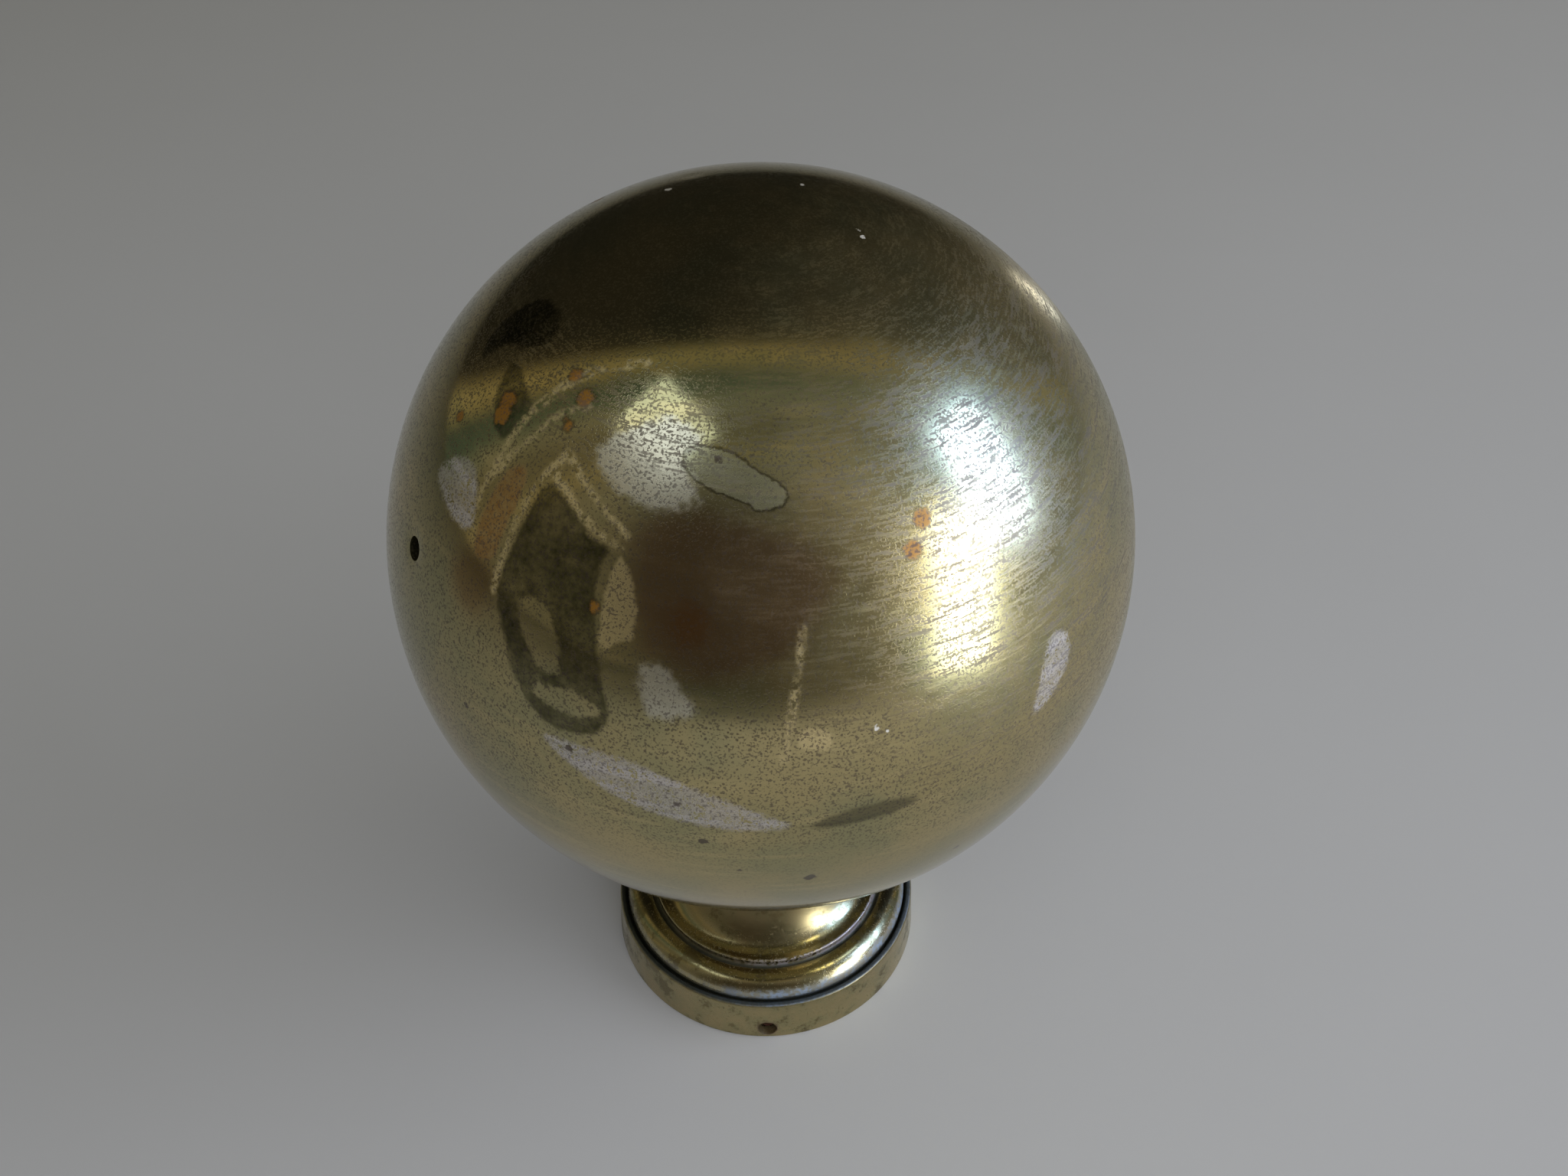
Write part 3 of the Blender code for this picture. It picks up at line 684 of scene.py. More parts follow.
def collar_finish(sizes, steps):
    """Turned brass: brown in the hollows, black-green dirt and painted shade in grooves, blue-grey film on flanks."""
    material, board, shader = metal("old_collar_brass")
    at = board.place()
    patch = board.noise(at, 5.0, 4.0, 0.6)
    grain = board.noise(at, 0.6, 3.0, 0.6)
    fine = board.noise(at, 0.28, 2.0, 0.55)
    rings = board.noise(board.drawn_out(at, (14.0, 14.0, 1.0)), 0.35, 2.0, 0.5)
    height = board.split(at)[2]
    radius = board.vector("LENGTH", board.vector("MULTIPLY", at, (1.0, 1.0, 0.0)), output=1)
    tone = board.mix(board.ease(patch, 0.35, 0.65), sizes.brass, (0.36, 0.325, 0.165))
    # Brown in the neck under the ball: partly tarnish, partly painted shade of the recess beneath the ball
    hollow = board.ease(radius + (patch - 0.5) * 2.0, 17.0, 12.5) * board.ease(height, 10.0, 12.0)
    tone = board.mix(hollow * 0.55, tone, sizes.brown)
    mottle = board.ease(patch + (grain - 0.5) * 0.30, 0.52, 0.62)
    tone = board.mix(mottle * 0.55, tone, sizes.brown)

    # Dull film: blue-grey low on the bead, lilac on the face of the fillet
    # Painted light: the film on the bead and on the fillet's face is laid on fuller towards the window lights
    toward_window_light = board.vector("DOT_PRODUCT", board.vector("NORMALIZE", at), point_at(0.0, 312.0).tolist(), output=1)
    share = 0.20 + board.ease(toward_window_light + (patch - 0.5) * 0.3, 0.30, 0.75) * 0.80
    bead_r, ring_top = steps["bead_r"], steps["ring_top"]
    flank = board.ease(radius, bead_r + 1.5, bead_r + 2.5) * board.ease(height, ring_top + 2.1, ring_top + 0.9)
    flank = flank * board.ease(height, ring_top - 0.4, ring_top - 0.1)
    flank = flank * share * (0.45 + board.ease(grain + (patch - 0.5) * 0.8, 0.42, 0.60) * 0.55)
    tone = board.mix(flank * 0.85, tone, sizes.film)
    fillet, valley_z = steps["fillet"], steps["valley_z"]
    face = board.ease(radius, fillet - 0.5, fillet - 0.1) * board.ease(radius, fillet + 0.4, fillet + 0.1)
    face = face * board.ease(height, valley_z, valley_z + 0.2)
    face = face * share * board.ease(grain + (patch - 0.5) * 0.5, 0.36, 0.52)
    tone = board.mix(face * 0.70, tone, (0.34, 0.31, 0.36))

    # Dirt and painted shade: in the groove between the bead and the ring, and in the valley beside the fillet
    wander = (patch - 0.5) * 0.5 + (grain - 0.5) * 0.25
    low = board.ease(height + wander * 0.5, ring_top + 0.50, ring_top + 0.05)
    line_out = board.ease(radius + wander * 0.6, steps["ring_radius"] + 0.05, steps["ring_radius"] - 0.40)
    groove = low * line_out * board.ease(radius, bead_r - 1.5, bead_r - 0.5)
    groove = groove * board.ease(height, ring_top - 1.6, ring_top - 1.0)
    section = board.node("ShaderNodeCombineXYZ", None, {0: radius, 1: 0.0, 2: height})
    valley = board.spot(section, (steps["valley_r"], 0.0, valley_z), 0.55, 0.28, wander * 0.6)
    dirt_and_shade = groove.either(valley * 0.9)
    tone = board.mix(dirt_and_shade * 0.94, tone, sizes.dirt_and_shade)
    single = board.dots(at, 1.5, 0.13, 0.05) * board.ease(patch, 0.35, 0.6)
    loose = board.ease(fine * 0.6 + grain * 0.4, 0.575, 0.62)
    pits = single.either(loose * 0.6)
    tone = board.mix(pits * 0.35, tone, sizes.brown)

    # Rust that has bled from the screw holes
    level = np.array([0.0, 0.0, sizes.screw_height])
    mouths = [(point_at(0.0, bearing, steps["ring_radius"]) + level).tolist() for _, bearing in SCREWS.values()]
    bleed = reduce(Wire.either, [board.spot(at, mouth, sizes.screw_hole + 0.25, 0.35, grain - 0.5)
                                 for mouth in mouths])
    tone = board.mix(bleed * 0.70, tone, (0.075, 0.032, 0.016))
    board.feed(shader.inputs["Base Color"], tone)
    dull = dirt_and_shade * 0.3 + bleed * 0.5 + flank * 0.7 + face * 0.6 + pits * 0.3
    board.feed(shader.inputs["Metallic"], 1.0 - dull.both(0.9))
    roughness = 0.19 + mottle * 0.10 + dirt_and_shade * 0.4 + (rings - 0.5) * 0.08 + pits * 0.25 + bleed * 0.3
    roughness = roughness + flank * 0.30 + face * 0.25 + hollow * 0.20
    board.feed(shader.inputs["Roughness"], roughness.either(0.07).both(0.85))
    relief = rings * 0.35 + grain * 0.25 - pits * 0.5
    board.feed(shader.inputs["Normal"], board.bump(relief, 0.015, 0.5))
    return material


def inner_finish(sizes):
    """Unpolished brass for the pieces inside, dull brown in clouds with solder drips' grain."""
    material, board, shader = metal("raw_inner_brass")
    at = board.place()
    patch = board.noise(at, 4.0, 4.0, 0.6)
    tone = board.mix(board.ease(patch, 0.3, 0.7), (0.30, 0.22, 0.09), sizes.brown)
    board.feed(shader.inputs["Base Color"], tone)
    board.feed(shader.inputs["Roughness"], 0.38 + patch * 0.25)
    board.feed(shader.inputs["Normal"], board.bump(board.noise(at, 0.5, 3.0), 0.03, 0.6))
    return material


def steel_finish(sizes, name, rusted):
    """Steel, with red-brown rust over the share of it that is rusted."""
    material, board, shader = metal(name)
    at = board.place()
    patch = board.noise(at, 1.6, 5.0, 0.65)
    grain = board.noise(at, 0.22, 3.0, 0.6)
    limit = 1.0 - rusted
    rust = board.ease(patch + (grain - 0.5) * 0.3, limit - 0.12, limit + 0.12)
    dark = board.mix(grain, (0.035, 0.014, 0.009), sizes.rust)
    tone = board.mix(rust, sizes.steel, dark)
    board.feed(shader.inputs["Base Color"], tone)
    board.feed(shader.inputs["Metallic"], 1.0 - rust * 0.9)
    board.feed(shader.inputs["Roughness"], 0.32 + rust * 0.5)
    board.feed(shader.inputs["Normal"], board.bump(rust * grain, 0.06, 0.8))
    return material


# Operators


class FINIAL_OT_stage(bpy.types.Operator):
    """Make the floor, the lights and the camera."""

    bl_idname = "finial.stage"
    bl_label = "Studio"

    def execute(self, context):
        sizes = context.scene.finial_stage
        self.make_floor(sizes)
        self.make_world()
        self.make_lights(sizes)
        self.make_camera(context, sizes)
        return {"FINISHED"}

    def make_floor(self, sizes):
        """A level sheet with faint cloudiness."""
        side = 3000.0
        mesh = bpy.data.meshes.new("studio_floor")
        corners = [(-side, -side, 0.0), (side, -side, 0.0), (side, side, 0.0), (-side, side, 0.0)]
        mesh.from_pydata((np.array(corners) * MM).tolist(), [], [(0, 1, 2, 3)])
        floor = bpy.data.objects.new("studio_floor", mesh)
        bpy.context.scene.collection.objects.link(floor)
        material, board, shader = metal("pale_floor", 0.0)
        cloud = board.noise(board.place(), 60.0, 3.0)
        warm = [value * 0.97 for value in sizes.floor]
        board.feed(shader.inputs["Base Color"], board.mix(cloud, sizes.floor, warm))
        shader.inputs["Roughness"].default_value = 0.9
        shader.inputs["Specular IOR Level"].default_value = 0.0
        mesh.materials.append(material)

    def make_world(self):
        """A room for reflections: a dark back with bands of muted colour round it, a dim front and pale overhead."""
        world = bpy.data.worlds.new("studio")
        bpy.context.scene.world = world
        world.use_nodes = True
        board = Board(world.node_tree)
        background = world.node_tree.nodes["Background"]
        way = board.node("ShaderNodeTexCoord", output="Generated")
        overhead = board.ease(board.split(way)[2], 0.30, 0.95)
        room = board.mix(overhead, (0.175, 0.165, 0.135), (0.34, 0.335, 0.31))
        front = board.vector("DOT_PRODUCT", way, tuple(point_at(25.0, 262.0)), output=1)
        room = board.mix(board.ease(front, 0.66, 0.94), room, (0.075, 0.065, 0.052))
        away = board.node("ShaderNodeMath", {"operation": "ARCCOSINE"}, {
            0: board.vector("DOT_PRODUCT", way, tuple(point_at(26.0, 90.0)), output=1)})
        share = away * (180.0 / pi / 100.0)
        bands = board.node("ShaderNodeValToRGB", {"stops": (
            (0.47, (0.012, 0.011, 0.009)), (0.54, (0.026, 0.023, 0.018)), (0.59, (0.33, 0.28, 0.15)),
            (0.62, (0.25, 0.215, 0.12)), (0.655, (0.070, 0.098, 0.083)), (0.70, (0.095, 0.13, 0.11)),
            (0.74, (0.23, 0.23, 0.19)), (0.80, (0.15, 0.14, 0.105)), (0.85, (0.16, 0.15, 0.11)),
            (0.885, (0.30, 0.26, 0.17)), (0.93, (0.19, 0.175, 0.14)))}, {0: share})
        room = board.mix(board.ease(share, 0.96, 0.90), room, bands)
        seen = board.node("ShaderNodeLightPath", output="Is Camera Ray")
        board.feed(background.inputs["Color"], board.mix(seen, room, (0.42, 0.43, 0.45)))
        background.inputs["Strength"].default_value = 1.0

    def make_lights(self, sizes):
        """A soft key from the right and an even fill, then tall window-like panels that only the polish picks up."""
        cool, warm = (0.92, 0.94, 1.0), (1.0, 0.97, 0.86)
        self.panel("key", 350.0, 27.0, 0.0, 900.0, (800.0, 650.0), cool, sizes.key * 2.05, "diffuse")
        self.panel("overhead", 60.0, 78.0, 0.0, 1200.0, (1700.0, 1700.0), warm, sizes.key * 0.23, "diffuse")
        self.panel("front", 278.0, 36.0, 0.0, 450.0, (420.0, 420.0), cool, sizes.key * 1.55, "diffuse")
        self.panel("window_high", 351.0, 27.0, -20.0, 420.0, (130.0, 240.0), (0.32, 0.50, 1.0), 17.0, "glossy")
        self.panel("window_low", 327.0, 11.0, -19.0, 400.0, (115.0, 265.0), (0.86, 0.92, 1.0), 13.0, "glossy")
        self.panel("window_small", 212.0, 61.0, 0.0, 500.0, (200.0, 150.0), (0.80, 0.90, 1.0), 1.7, "glossy")
        self.panel("limb", 58.0, -8.0, 0.0, 400.0, (26.0, 80.0), (1.0, 0.98, 0.90), 3.0, "glossy")

    def panel(self, name, bearing, latitude, lean, distance, size, tint, radiance, kind):
        """A rectangular light facing the ball, leaning about its axis. Its power is pi by its area by its radiance."""
        data = bpy.data.lights.new(name, "AREA")
        data.shape = "RECTANGLE"
        data.size = size[0] * MM
        data.size_y = size[1] * MM
        data.color = tint
        data.energy = pi * data.size * data.size_y * radiance
        light = bpy.data.objects.new(name, data)
        bpy.context.scene.collection.objects.link(light)
        outward = Vector(point_at(latitude, bearing))
        upright = outward.to_track_quat("Z", "Y").to_matrix()
        light.location = (outward * distance + Vector((0.0, 0.0, BALL_Z))) * MM
        light.rotation_euler = (upright @ Matrix.Rotation(radians(lean), 3, "Z")).to_euler()
        light.visible_glossy = kind == "glossy"
        light.visible_diffuse = kind == "diffuse"
        light.visible_camera = False

    def make_camera(self, context, sizes):
        """The camera looks at the ball's centre, then turns by the aim and roll angles about its own axes."""
        data = bpy.data.cameras.new("camera")
        data.sensor_width = 36.0
        data.lens = sizes.lens
        data.clip_start = 0.01
        data.clip_end = 20.0
        camera = bpy.data.objects.new("camera", data)
        context.scene.collection.objects.link(camera)
        outward = Vector((0.0, -cos(sizes.elevation), sin(sizes.elevation)))
        look = Matrix.Rotation(pi / 2.0 - sizes.elevation, 4, "X")
        aim = Matrix.Rotation(-sizes.aim_down, 4, "X") @ Matrix.Rotation(-sizes.aim_right, 4, "Y")
        place = Matrix.Translation((outward * sizes.distance + Vector((0.0, 0.0, BALL_Z))) * MM)
        camera.matrix_world = place @ look @ aim @ Matrix.Rotation(sizes.roll, 4, "Z")
        context.scene.camera = camera
        context.scene.view_settings.view_transform = "Standard"


class FINIAL_OT_ball(bpy.types.Operator):
    """Make the hollow ball, its vent and the brass inside it."""

    bl_idname = "finial.ball"
    bl_label = "Ball"

    def execute(self, context):
        sizes = context.scene.finial_ball
        self.make_skin(sizes)
        raw = inner_finish(sizes)
        self.make_seam_band(sizes, raw)
        self.make_boss(sizes, raw)
        return {"FINISHED"}

    def make_skin(self, sizes):
        """Outside from the pole down to the opening, and back up inside at the wall's depth."""
        trim = 0.02
        outer, inner = BALL_RADIUS - trim, BALL_RADIUS - sizes.wall
        outer_end = np.degrees(np.arcsin(sizes.opening / outer)) - 90.0
        inner_end = np.degrees(np.arcsin(sizes.opening / inner)) - 90.0
        outside = arc(0.0, 0.0, outer, 90.0, outer_end, 214)
        inside = arc(0.0, 0.0, inner, inner_end, 90.0, 22)
        outline = np.vstack([outside, inside])
        outline[[0, -1], 0] = 0.0
        grid = swept(outline, 360)
        normal = grid / np.linalg.norm(grid, axis=-1, keepdims=True)
        relief = self.relief(normal, sizes)
        relief[len(outside):] = 0.0
        grid = grid + normal * relief[..., None] + np.array([0.0, 0.0, BALL_Z])
        ball = skin("ball", grid, False, 60.0)
        vent = point_at(np.degrees(sizes.vent_latitude), np.degrees(sizes.vent_bearing))
        centre = np.array([0.0, 0.0, BALL_Z])
        drill(ball, centre + vent * (inner - 3.0), centre + vent * (outer + 3.0), sizes.vent)
        soften(ball, 60.0)
        self.lay_fields(ball)
        finish_piece(ball, ball_finish(sizes), "ball", "ball_brass", "upper_shell", "lower_shell")

    def lay_fields(self, ball):
        """Keep on each point how far it is from the nearest outline of each kind."""
        points = np.empty(len(ball.data.vertices) * 3, dtype=np.float32)
        ball.data.vertices.foreach_get("co", points)
        away = points.reshape(-1, 3) / MM - np.array([0.0, 0.0, BALL_Z])
        normals = away / np.linalg.norm(away, axis=1, keepdims=True)
        for name, (outlines, closed) in FIELDS.items():
            values = np.min([reach(normals, marks, closed) for marks in outlines], axis=0)
            field = ball.data.attributes.new(name, "FLOAT", "POINT")
            field.data.foreach_set("value", values.astype(np.float32))

    def relief(self, normal, sizes):
        """Height of the surface: slow sine swells, Gaussian dents and a worn dip round the vent."""
        x, y, z = normal[..., 0], normal[..., 1], normal[..., 2]
        swells = np.sin(5.0 * x + 2.0 * z + 1.0) * np.sin(4.0 * y - 3.0 * z) + np.sin(9.0 * z + 2.0 * x)
        swells = swells + 0.6 * np.sin(11.0 * y + 7.0 * x + 0.5) * np.sin(8.0 * x - 5.0 * z)
        relief = sizes.swell * (swells / 2.6 - 1.0)
        for latitude, bearing, width, depth in DENTS:
            away = np.linalg.norm(normal - point_at(latitude, bearing), axis=-1) * BALL_RADIUS
            relief = relief - depth * np.exp(-((away / width) ** 2))
        vent = point_at(np.degrees(sizes.vent_latitude), np.degrees(sizes.vent_bearing))
        away = np.linalg.norm(normal - vent, axis=-1) * BALL_RADIUS
        return relief - 0.16 * np.exp(-((away / (sizes.vent * 1.35)) ** 4))

    def make_seam_band(self, sizes, raw):
        """A strip curved with the shells, lapping the seam from inside."""
        outer = BALL_RADIUS - sizes.wall - GAP
        inner = outer - 1.0
        half_width = 4.5
        half = np.degrees(np.arcsin(half_width / outer))
        outline = np.vstack([arc(0.0, BALL_Z, outer, half, -half, 12), arc(0.0, BALL_Z, inner, -half, half, 12)])
        band = skin("seam_strip", swept(outline, 128), True)
        finish_piece(band, raw, "ball", "inner_brass", "seam_band")

    def make_boss(self, sizes, raw):
        """The tapped boss: a barrel, a flange bedded on the shell and a spigot through it."""
        bed = BALL_RADIUS - sizes.wall - GAP
        low, high = [corner.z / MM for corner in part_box("stud_boss")]
        bore, barrel, flange, spigot, edge = BORE, 9.0, 12.0, 7.7, 0.5
        bed_z = BALL_Z - sqrt(bed ** 2 - flange ** 2)
        start, end = [float(np.degrees(np.arcsin(value / bed))) - 90.0 for value in (flange, spigot)]
        outline = np.vstack([
            line((bore + edge, high), (barrel - edge, high), 3),
            arc(barrel - edge, high - edge, edge, 90.0, 0.0, 6)[1:],
            line((barrel, high - 1.0), (barrel, bed_z + 2.9), 4),
            arc(barrel + 0.4, bed_z + 2.9, 0.4, 180.0, 270.0, 5),
            arc(flange - edge, bed_z + 2.5 - edge, edge, 90.0, 0.0, 6),
            arc(0.0, BALL_Z, bed, start, end, 8),
            line((spigot, BALL_Z - bed), (spigot, low), 3)[1:],
            line((bore + edge, low), (bore, low + edge), 2),
            line((bore, high - edge), (bore + edge, high), 2)[:1],
        ])
        boss = skin("stud_boss_turned", swept(outline, 72), True)
        finish_piece(boss, raw, "ball", "inner_brass", "stud_boss")


class FINIAL_OT_collar(bpy.types.Operator):
    """Make the turned collar and the base ring."""

    bl_idname = "finial.collar"
    bl_label = "Collar and ring"

    def execute(self, context):
        sizes = context.scene.finial_collar
        ring_radius = RING_BOX[1].x / MM - sizes.flare
        ring_top = RING_BOX[1].z / MM
        ledge_z = ring_top - sizes.ledge_fall
        ledge_r = sizes.socket + sizes.ledge
        bead_r = COLLAR_BOX[1].x / MM - sizes.bead_width
        steps = {"ring_radius": ring_radius, "ring_top": ring_top, "ledge_z": ledge_z, "ledge_r": ledge_r,
                 "bead_r": bead_r, "fillet": bead_r - sizes.fillet_inset,
                 "valley_r": bead_r - sizes.fillet_inset / 2.0,
                 "valley_z": ring_top + sizes.bead_height - sizes.valley}
        finish = collar_finish(sizes, steps)
        self.make_collar(sizes, steps, finish)
        self.make_ring(sizes, steps, finish)
        return {"FINISHED"}

    def cove(self, sizes, edge_r, edge_z, count):
        """Quarter ellipse from an edge in to the waist."""
        turn = np.linspace(pi / 2.0, 0.0, count)
        r = edge_r - (edge_r - sizes.waist) * np.cos(turn)
        z = sizes.waist_height + (edge_z - sizes.waist_height) * np.sin(turn)
        return np.stack([r, z], axis=1)

    def make_collar(self, sizes, steps, finish):
        """Seat, cap, neck, fillet, bead and spigot down the outside, then the nut pocket and the stud's hole."""
        height = COLLAR_BOX[1].z / MM
        low = COLLAR_BOX[0].z / MM
        hole, edge, recess, opening = STUD_HOLE, 0.5, 8.6, 8.0
        seat_sphere = BALL_RADIUS + GAP
        start, end = [float(np.degrees(np.arcsin(value / seat_sphere))) - 90.0 for value in (recess, sizes.seat)]
        floor = BALL_Z - sqrt(BALL_RADIUS ** 2 - opening ** 2) - GAP
        cap = sizes.seat + 0.6
        cap_low = height - 1.6
        fillet = steps["fillet"]
        fillet_top = steps["valley_z"] + sizes.fillet_height
        flare = fillet - 0.4
        roof = WASHER_BOX[1].z / MM + GAP
        outside = np.vstack([
            line((hole, floor), (recess, floor), 3),
            arc(0.0, BALL_Z, seat_sphere, start, end, 8),
            arc(cap - edge, height - edge, edge, 80.0, 0.0, 7),
            arc(cap - 0.25, cap_low + 0.25, 0.25, 0.0, -80.0, 5),
            self.cove(sizes, cap - 0.2, cap_low, 30)[1:],
            self.cove(sizes, flare, fillet_top, 44)[::-1][1:-1],
            arc(fillet - 0.25, fillet_top - 0.27, 0.25, 80.0, 0.0, 7),
            line((fillet, fillet_top - 0.5), (fillet, steps["valley_z"] + 0.30), 4),
            arc(steps["valley_r"], steps["valley_z"] + 0.16, 0.34, 215.0, 300.0, 6, 0.16),
            arc(steps["bead_r"], steps["ring_top"], sizes.bead_width - 0.02, 93.0, -4.0, 60, sizes.bead_height),
        ])
        outline = np.vstack([
            outside,
            line((steps["ledge_r"] - 0.1, steps["ledge_z"] + GAP), (sizes.socket - GAP, steps["ledge_z"] + GAP), 4),
            line((sizes.socket - GAP, low + 0.2), (sizes.socket - 0.5, low), 2),
            line((sizes.pocket + 0.3, low), (sizes.pocket, low + 0.3), 2),
            line((sizes.pocket, roof), (hole, roof), 4),
        ])
        grid = swept(outline, 256)
        turn = np.arctan2(grid[..., 1], grid[..., 0])
        lumps = np.sin(3.0 * turn + 0.35 * grid[..., 2]) + 0.6 * np.sin(7.0 * turn - 0.9 * grid[..., 2] + 1.0)
        seen = np.arange(len(outline)) < len(outside)
        grid[..., :2] *= 1.0 - (0.0006 * (lumps + 1.6) * seen[:, None])[..., None]
        collar = skin("collar_turned", grid, True, 50.0)
        finish_piece(collar, finish, "collar", "collar_brass", "collar")

    def make_ring(self, sizes, steps, finish):
        """The ring with its ledge, rounded shoulder, slight flare, socket and three screw holes."""
        top, ledge_z, wall = steps["ring_top"], steps["ledge_z"], steps["ring_radius"]
        foot = RING_BOX[1].x / MM
        inner_top = steps["ledge_r"] + GAP
        outline = np.vstack([
            line((sizes.socket, ledge_z), (inner_top, ledge_z), 5),
            line((inner_top + 0.12, ledge_z + 0.18), (wall - 0.86, top - 0.10), 4),
            arc(wall - 0.7, top - 0.7, 0.7, 96.0, 2.0, 12),
            line((wall + 0.01, top - 1.1), (foot - 0.02, 0.9), 16),
            arc(foot - 0.4, 0.4, 0.4, 10.0, -90.0, 8),
            line((foot - 1.0, 0.0), (sizes.socket + 0.5, 0.0), 8),
            line((sizes.socket, 0.5), (sizes.socket, ledge_z - 0.4), 10),
        ])
        ring = skin("base_ring_turned", swept(outline, 256), True, 50.0)
        for _, bearing in SCREWS.values():
            level = np.array([0.0, 0.0, sizes.screw_height])
            start = point_at(0.0, bearing, sizes.socket - 3.0) + level
            end = point_at(0.0, bearing, foot + 3.0) + level
            drill(ring, start, end, sizes.screw_hole)
        soften(ring, 50.0)
        finish_piece(ring, finish, "collar", "collar_brass", "base_ring")


class FINIAL_OT_fittings(bpy.types.Operator):
    """Make the stud, the washer, the nut and the set screws."""

    bl_idname = "finial.fittings"
    bl_label = "Steel fittings"

    def execute(self, context):
        sizes = context.scene.finial_steel
        plain = steel_finish(sizes, "plain_steel", 0.42)
        rusty = steel_finish(sizes, "rusty_steel", 0.78)
        self.make_stud(sizes, plain)
        self.make_washer(plain)
        self.make_nut(sizes, plain)
        for name, (body, bearing) in SCREWS.items():
            self.make_set_screw(sizes, name, body, bearing, rusty)
        return {"FINISHED"}

    def make_stud(self, sizes, plain):
        """A threaded rod with chamfered ends."""
        low, high = STUD_BOX[0].z / MM, STUD_BOX[1].z / MM
        radius = STUD_BOX[1].x / MM - 0.1
        rows = int((high - low - 1.6) / sizes.stud_pitch * 8.0)
        rod = line((radius - 0.25, high - 0.8), (radius - 0.25, low + 0.8), rows)
        ends = line((0.0, high), (radius - 0.8, high), 4), line((radius - 0.8, low), (0.0, low), 4)
        outline = np.vstack([ends[0], rod, ends[1]])
        grid = thread(outline, 48, sizes.stud_pitch, 0.6, 4, 4 + rows)
        finish_piece(skin("tie_stud_threaded", grid, False, 40.0), plain, "ball", "steel", "tie_stud")

    def make_washer(self, plain):
        """A punched washer: rounded on one face, with a slight burr on the other."""
        low, high = WASHER_BOX[0].z / MM, WASHER_BOX[1].z / MM
        outer = WASHER_BOX[1].x / MM
        outline = np.vstack([
            line((4.5, high), (outer - 0.3, high), 6),
            arc(outer - 0.3, high - 0.3, 0.3, 90.0, 0.0, 5)[1:],
            line((outer, high - 0.5), (outer, low + 0.05), 4),
            line((outer - 0.15, low), (4.6, low), 6),
            line((BORE, low + 0.2), (BORE, high - 0.2), 4),
        ])
        finish_piece(skin("washer_punched", swept(outline, 96), True), plain, "collar", "steel", "clamp_washer")

    def make_nut(self, sizes, plain):
        """A hexagon nut: each ring's radius is the smaller of the hexagon's and the chamfer's."""
        low, high = NUT_BOX[0].z / MM, NUT_BOX[1].z / MM
        size = NUT_BOX[1] - NUT_BOX[0]
        flat, corner = sorted((size.x / 2.0 / MM, size.y / 2.0 / MM))
        bore, chamfer = BORE, 1.0
        heights = np.concatenate([np.linspace(high, high - chamfer, 8), np.linspace(high - 1.3, low + 1.3, 6),
                                  np.linspace(low + chamfer, low, 8)])
        outer = np.stack([np.full(len(heights), corner), heights], axis=1)
        inner = line((bore + 0.35, low), (bore, low + 0.5), 3)
        inner = np.vstack([inner, line((bore, low + 0.7), (bore, high - 0.7), 40),
                           line((bore, high - 0.5), (bore + 0.35, high), 3)])
        outline = np.vstack([outer, inner])
        grid = thread(outline, 96, sizes.stud_pitch, 0.3, len(outer) + 3, len(outline) - 3)
        turn = np.arctan2(grid[: len(outer), :, 1], grid[: len(outer), :, 0])
        sixth = pi / 3.0
        facing = np.mod(turn + sixth / 2.0, sixth) - sixth / 2.0
        hexagon = flat / np.cos(facing)
        ends = np.minimum(high - heights, heights - low)[:, None]
        chamfered = flat - 0.1 + ends * 1.6
        radius = np.minimum(hexagon, chamfered)
        grid[: len(outer), :, 0] = radius * np.cos(turn)
        grid[: len(outer), :, 1] = radius * np.sin(turn)
        finish_piece(skin("nut_hexagon", grid, True, 30.0), plain, "nut", "steel", "clamp_nut")

    def make_set_screw(self, sizes, name, body, bearing, rusty):
        """A threaded set screw made upright, slotted, then laid out along its bearing."""
        low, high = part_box("set_screw_front")
        outer, inner = -low.y / MM, -high.y / MM
        level = (low.z + high.z) / 2.0 / MM
        radius = (high.x - low.x) / 2.0 / MM - 0.04
        span = outer - inner
        rows = int(span / sizes.screw_pitch * 8.0)
        outline = np.vstack([
            line((0.0, outer), (radius - 0.3, outer), 5),
            line((radius - 0.06, outer - 0.3), (radius - 0.06, inner + 0.5), rows),
            line((radius - 0.5, inner), (radius - 0.7, inner), 3),
            line((radius - 0.8, inner + 0.12), (0.0, inner + 0.35), 4),
        ])
        grid = thread(outline, 40, sizes.screw_pitch, 0.12, 5, 5 + rows)
        screw = skin(name + "_slotted", grid, False, 35.0)
        lay = Matrix.Rotation(radians(bearing), 4, "Z") @ Matrix.Rotation(pi / 2.0, 4, "Y")
        screw.data.transform(Matrix.Translation((0.0, 0.0, level * MM)) @ lay)
        slot_turn = Matrix.Rotation(radians(bearing), 4, "Z") @ Matrix.Rotation(radians(24.0), 4, "X")
        centre = point_at(0.0, bearing, outer) + np.array([0.0, 0.0, level])
        mill(screw, centre, (1.6, 3.4, sizes.slot), slot_turn)
        soften(screw, 35.0)
        finish_piece(screw, rusty, body, "rusty_steel", name)


class FINIAL_PT_panel(bpy.types.Panel):
    """Lists the finial's operators."""

    bl_idname = "FINIAL_PT_panel"
    bl_label = "Ball finial"
    bl_space_type = "VIEW_3D"
    bl_region_type = "UI"
    bl_category = "Finial"

    def draw(self, context):
        for operator in OPERATORS:
            self.layout.operator(operator.bl_idname)


OPERATORS = (FINIAL_OT_stage, FINIAL_OT_ball, FINIAL_OT_collar, FINIAL_OT_fittings)
SETTINGS = {"finial_ball": FINIAL_PG_ball, "finial_collar": FINIAL_PG_collar, "finial_steel": FINIAL_PG_steel,
            "finial_stage": FINIAL_PG_stage}
CLASSES = (*SETTINGS.values(), *OPERATORS, FINIAL_PT_panel)


def register():
    """Register the classes and put the settings on the scene."""
    for made in CLASSES:
        bpy.utils.register_class(made)
    for name, group in SETTINGS.items():
        setattr(bpy.types.Scene, name, PointerProperty(type=group))


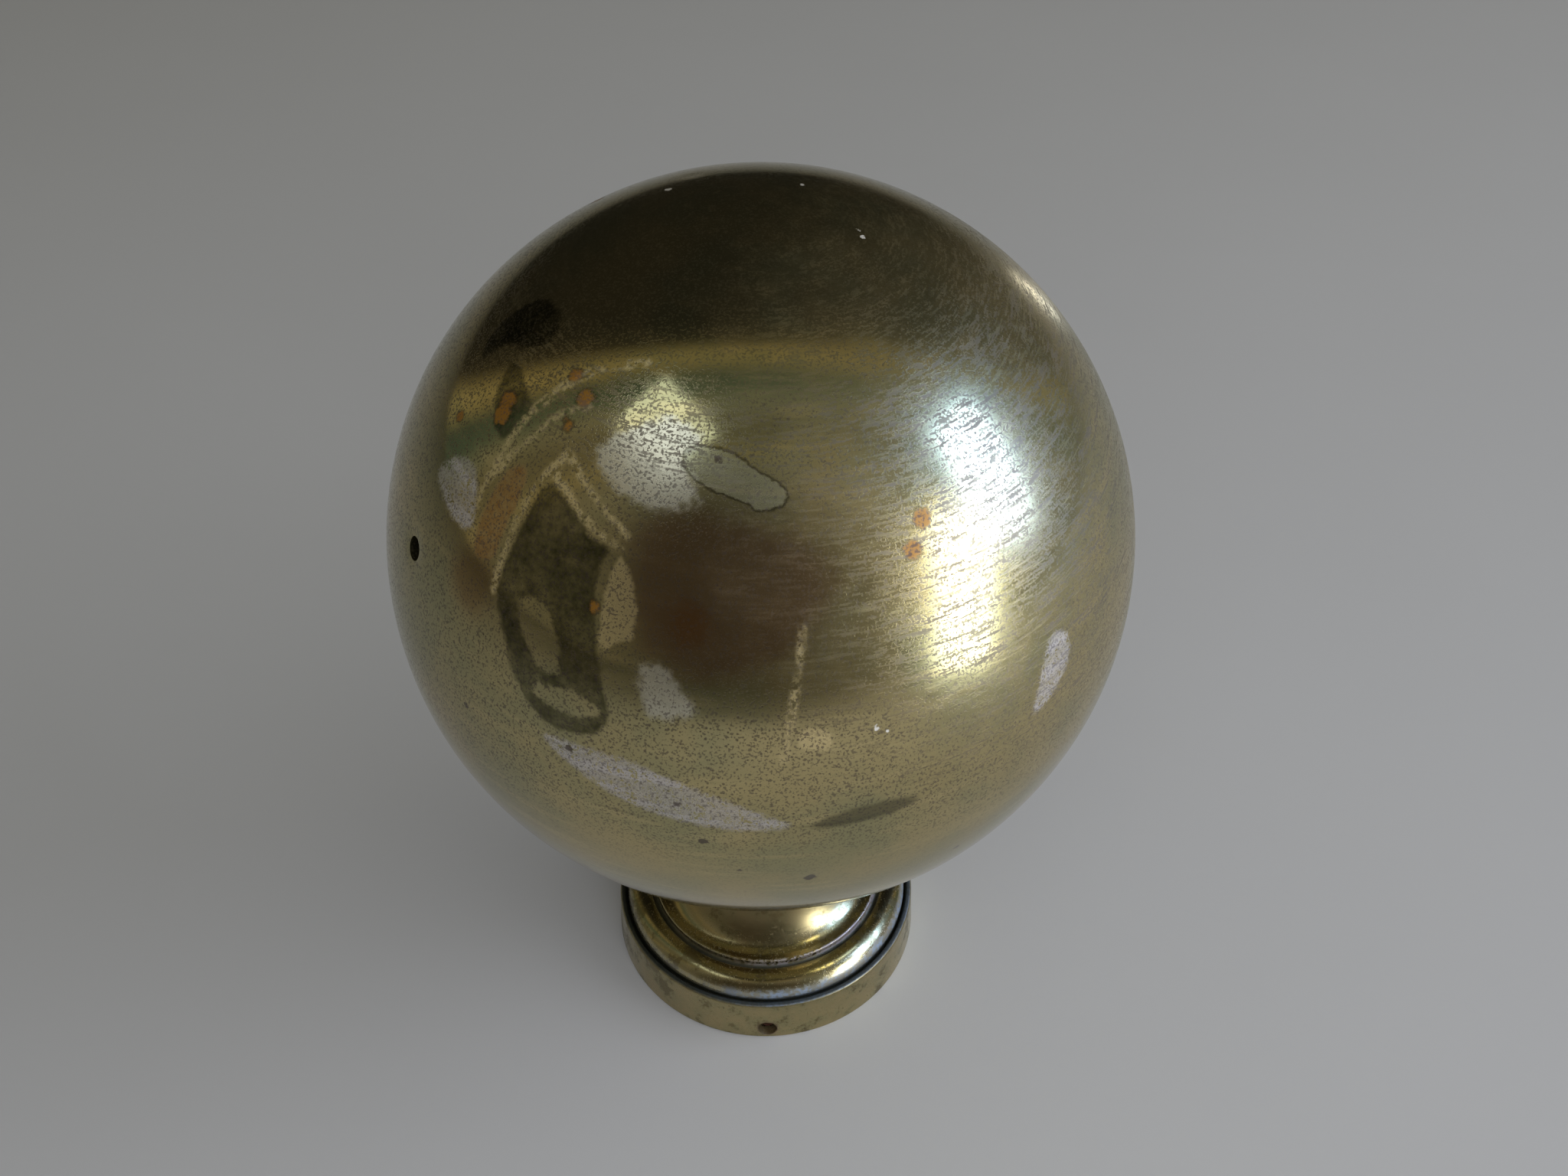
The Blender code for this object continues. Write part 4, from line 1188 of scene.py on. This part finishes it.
def unregister():
    """Take the settings and the classes away again."""
    for name in SETTINGS:
        delattr(bpy.types.Scene, name)
    for made in reversed(CLASSES):
        bpy.utils.unregister_class(made)


def main():
    """Build everything."""
    register()
    bpy.ops.finial.stage()
    bpy.ops.finial.ball()
    bpy.ops.finial.collar()
    bpy.ops.finial.fittings()
    bpy.context.view_layer.update()


if __name__ == "__main__":
    main()
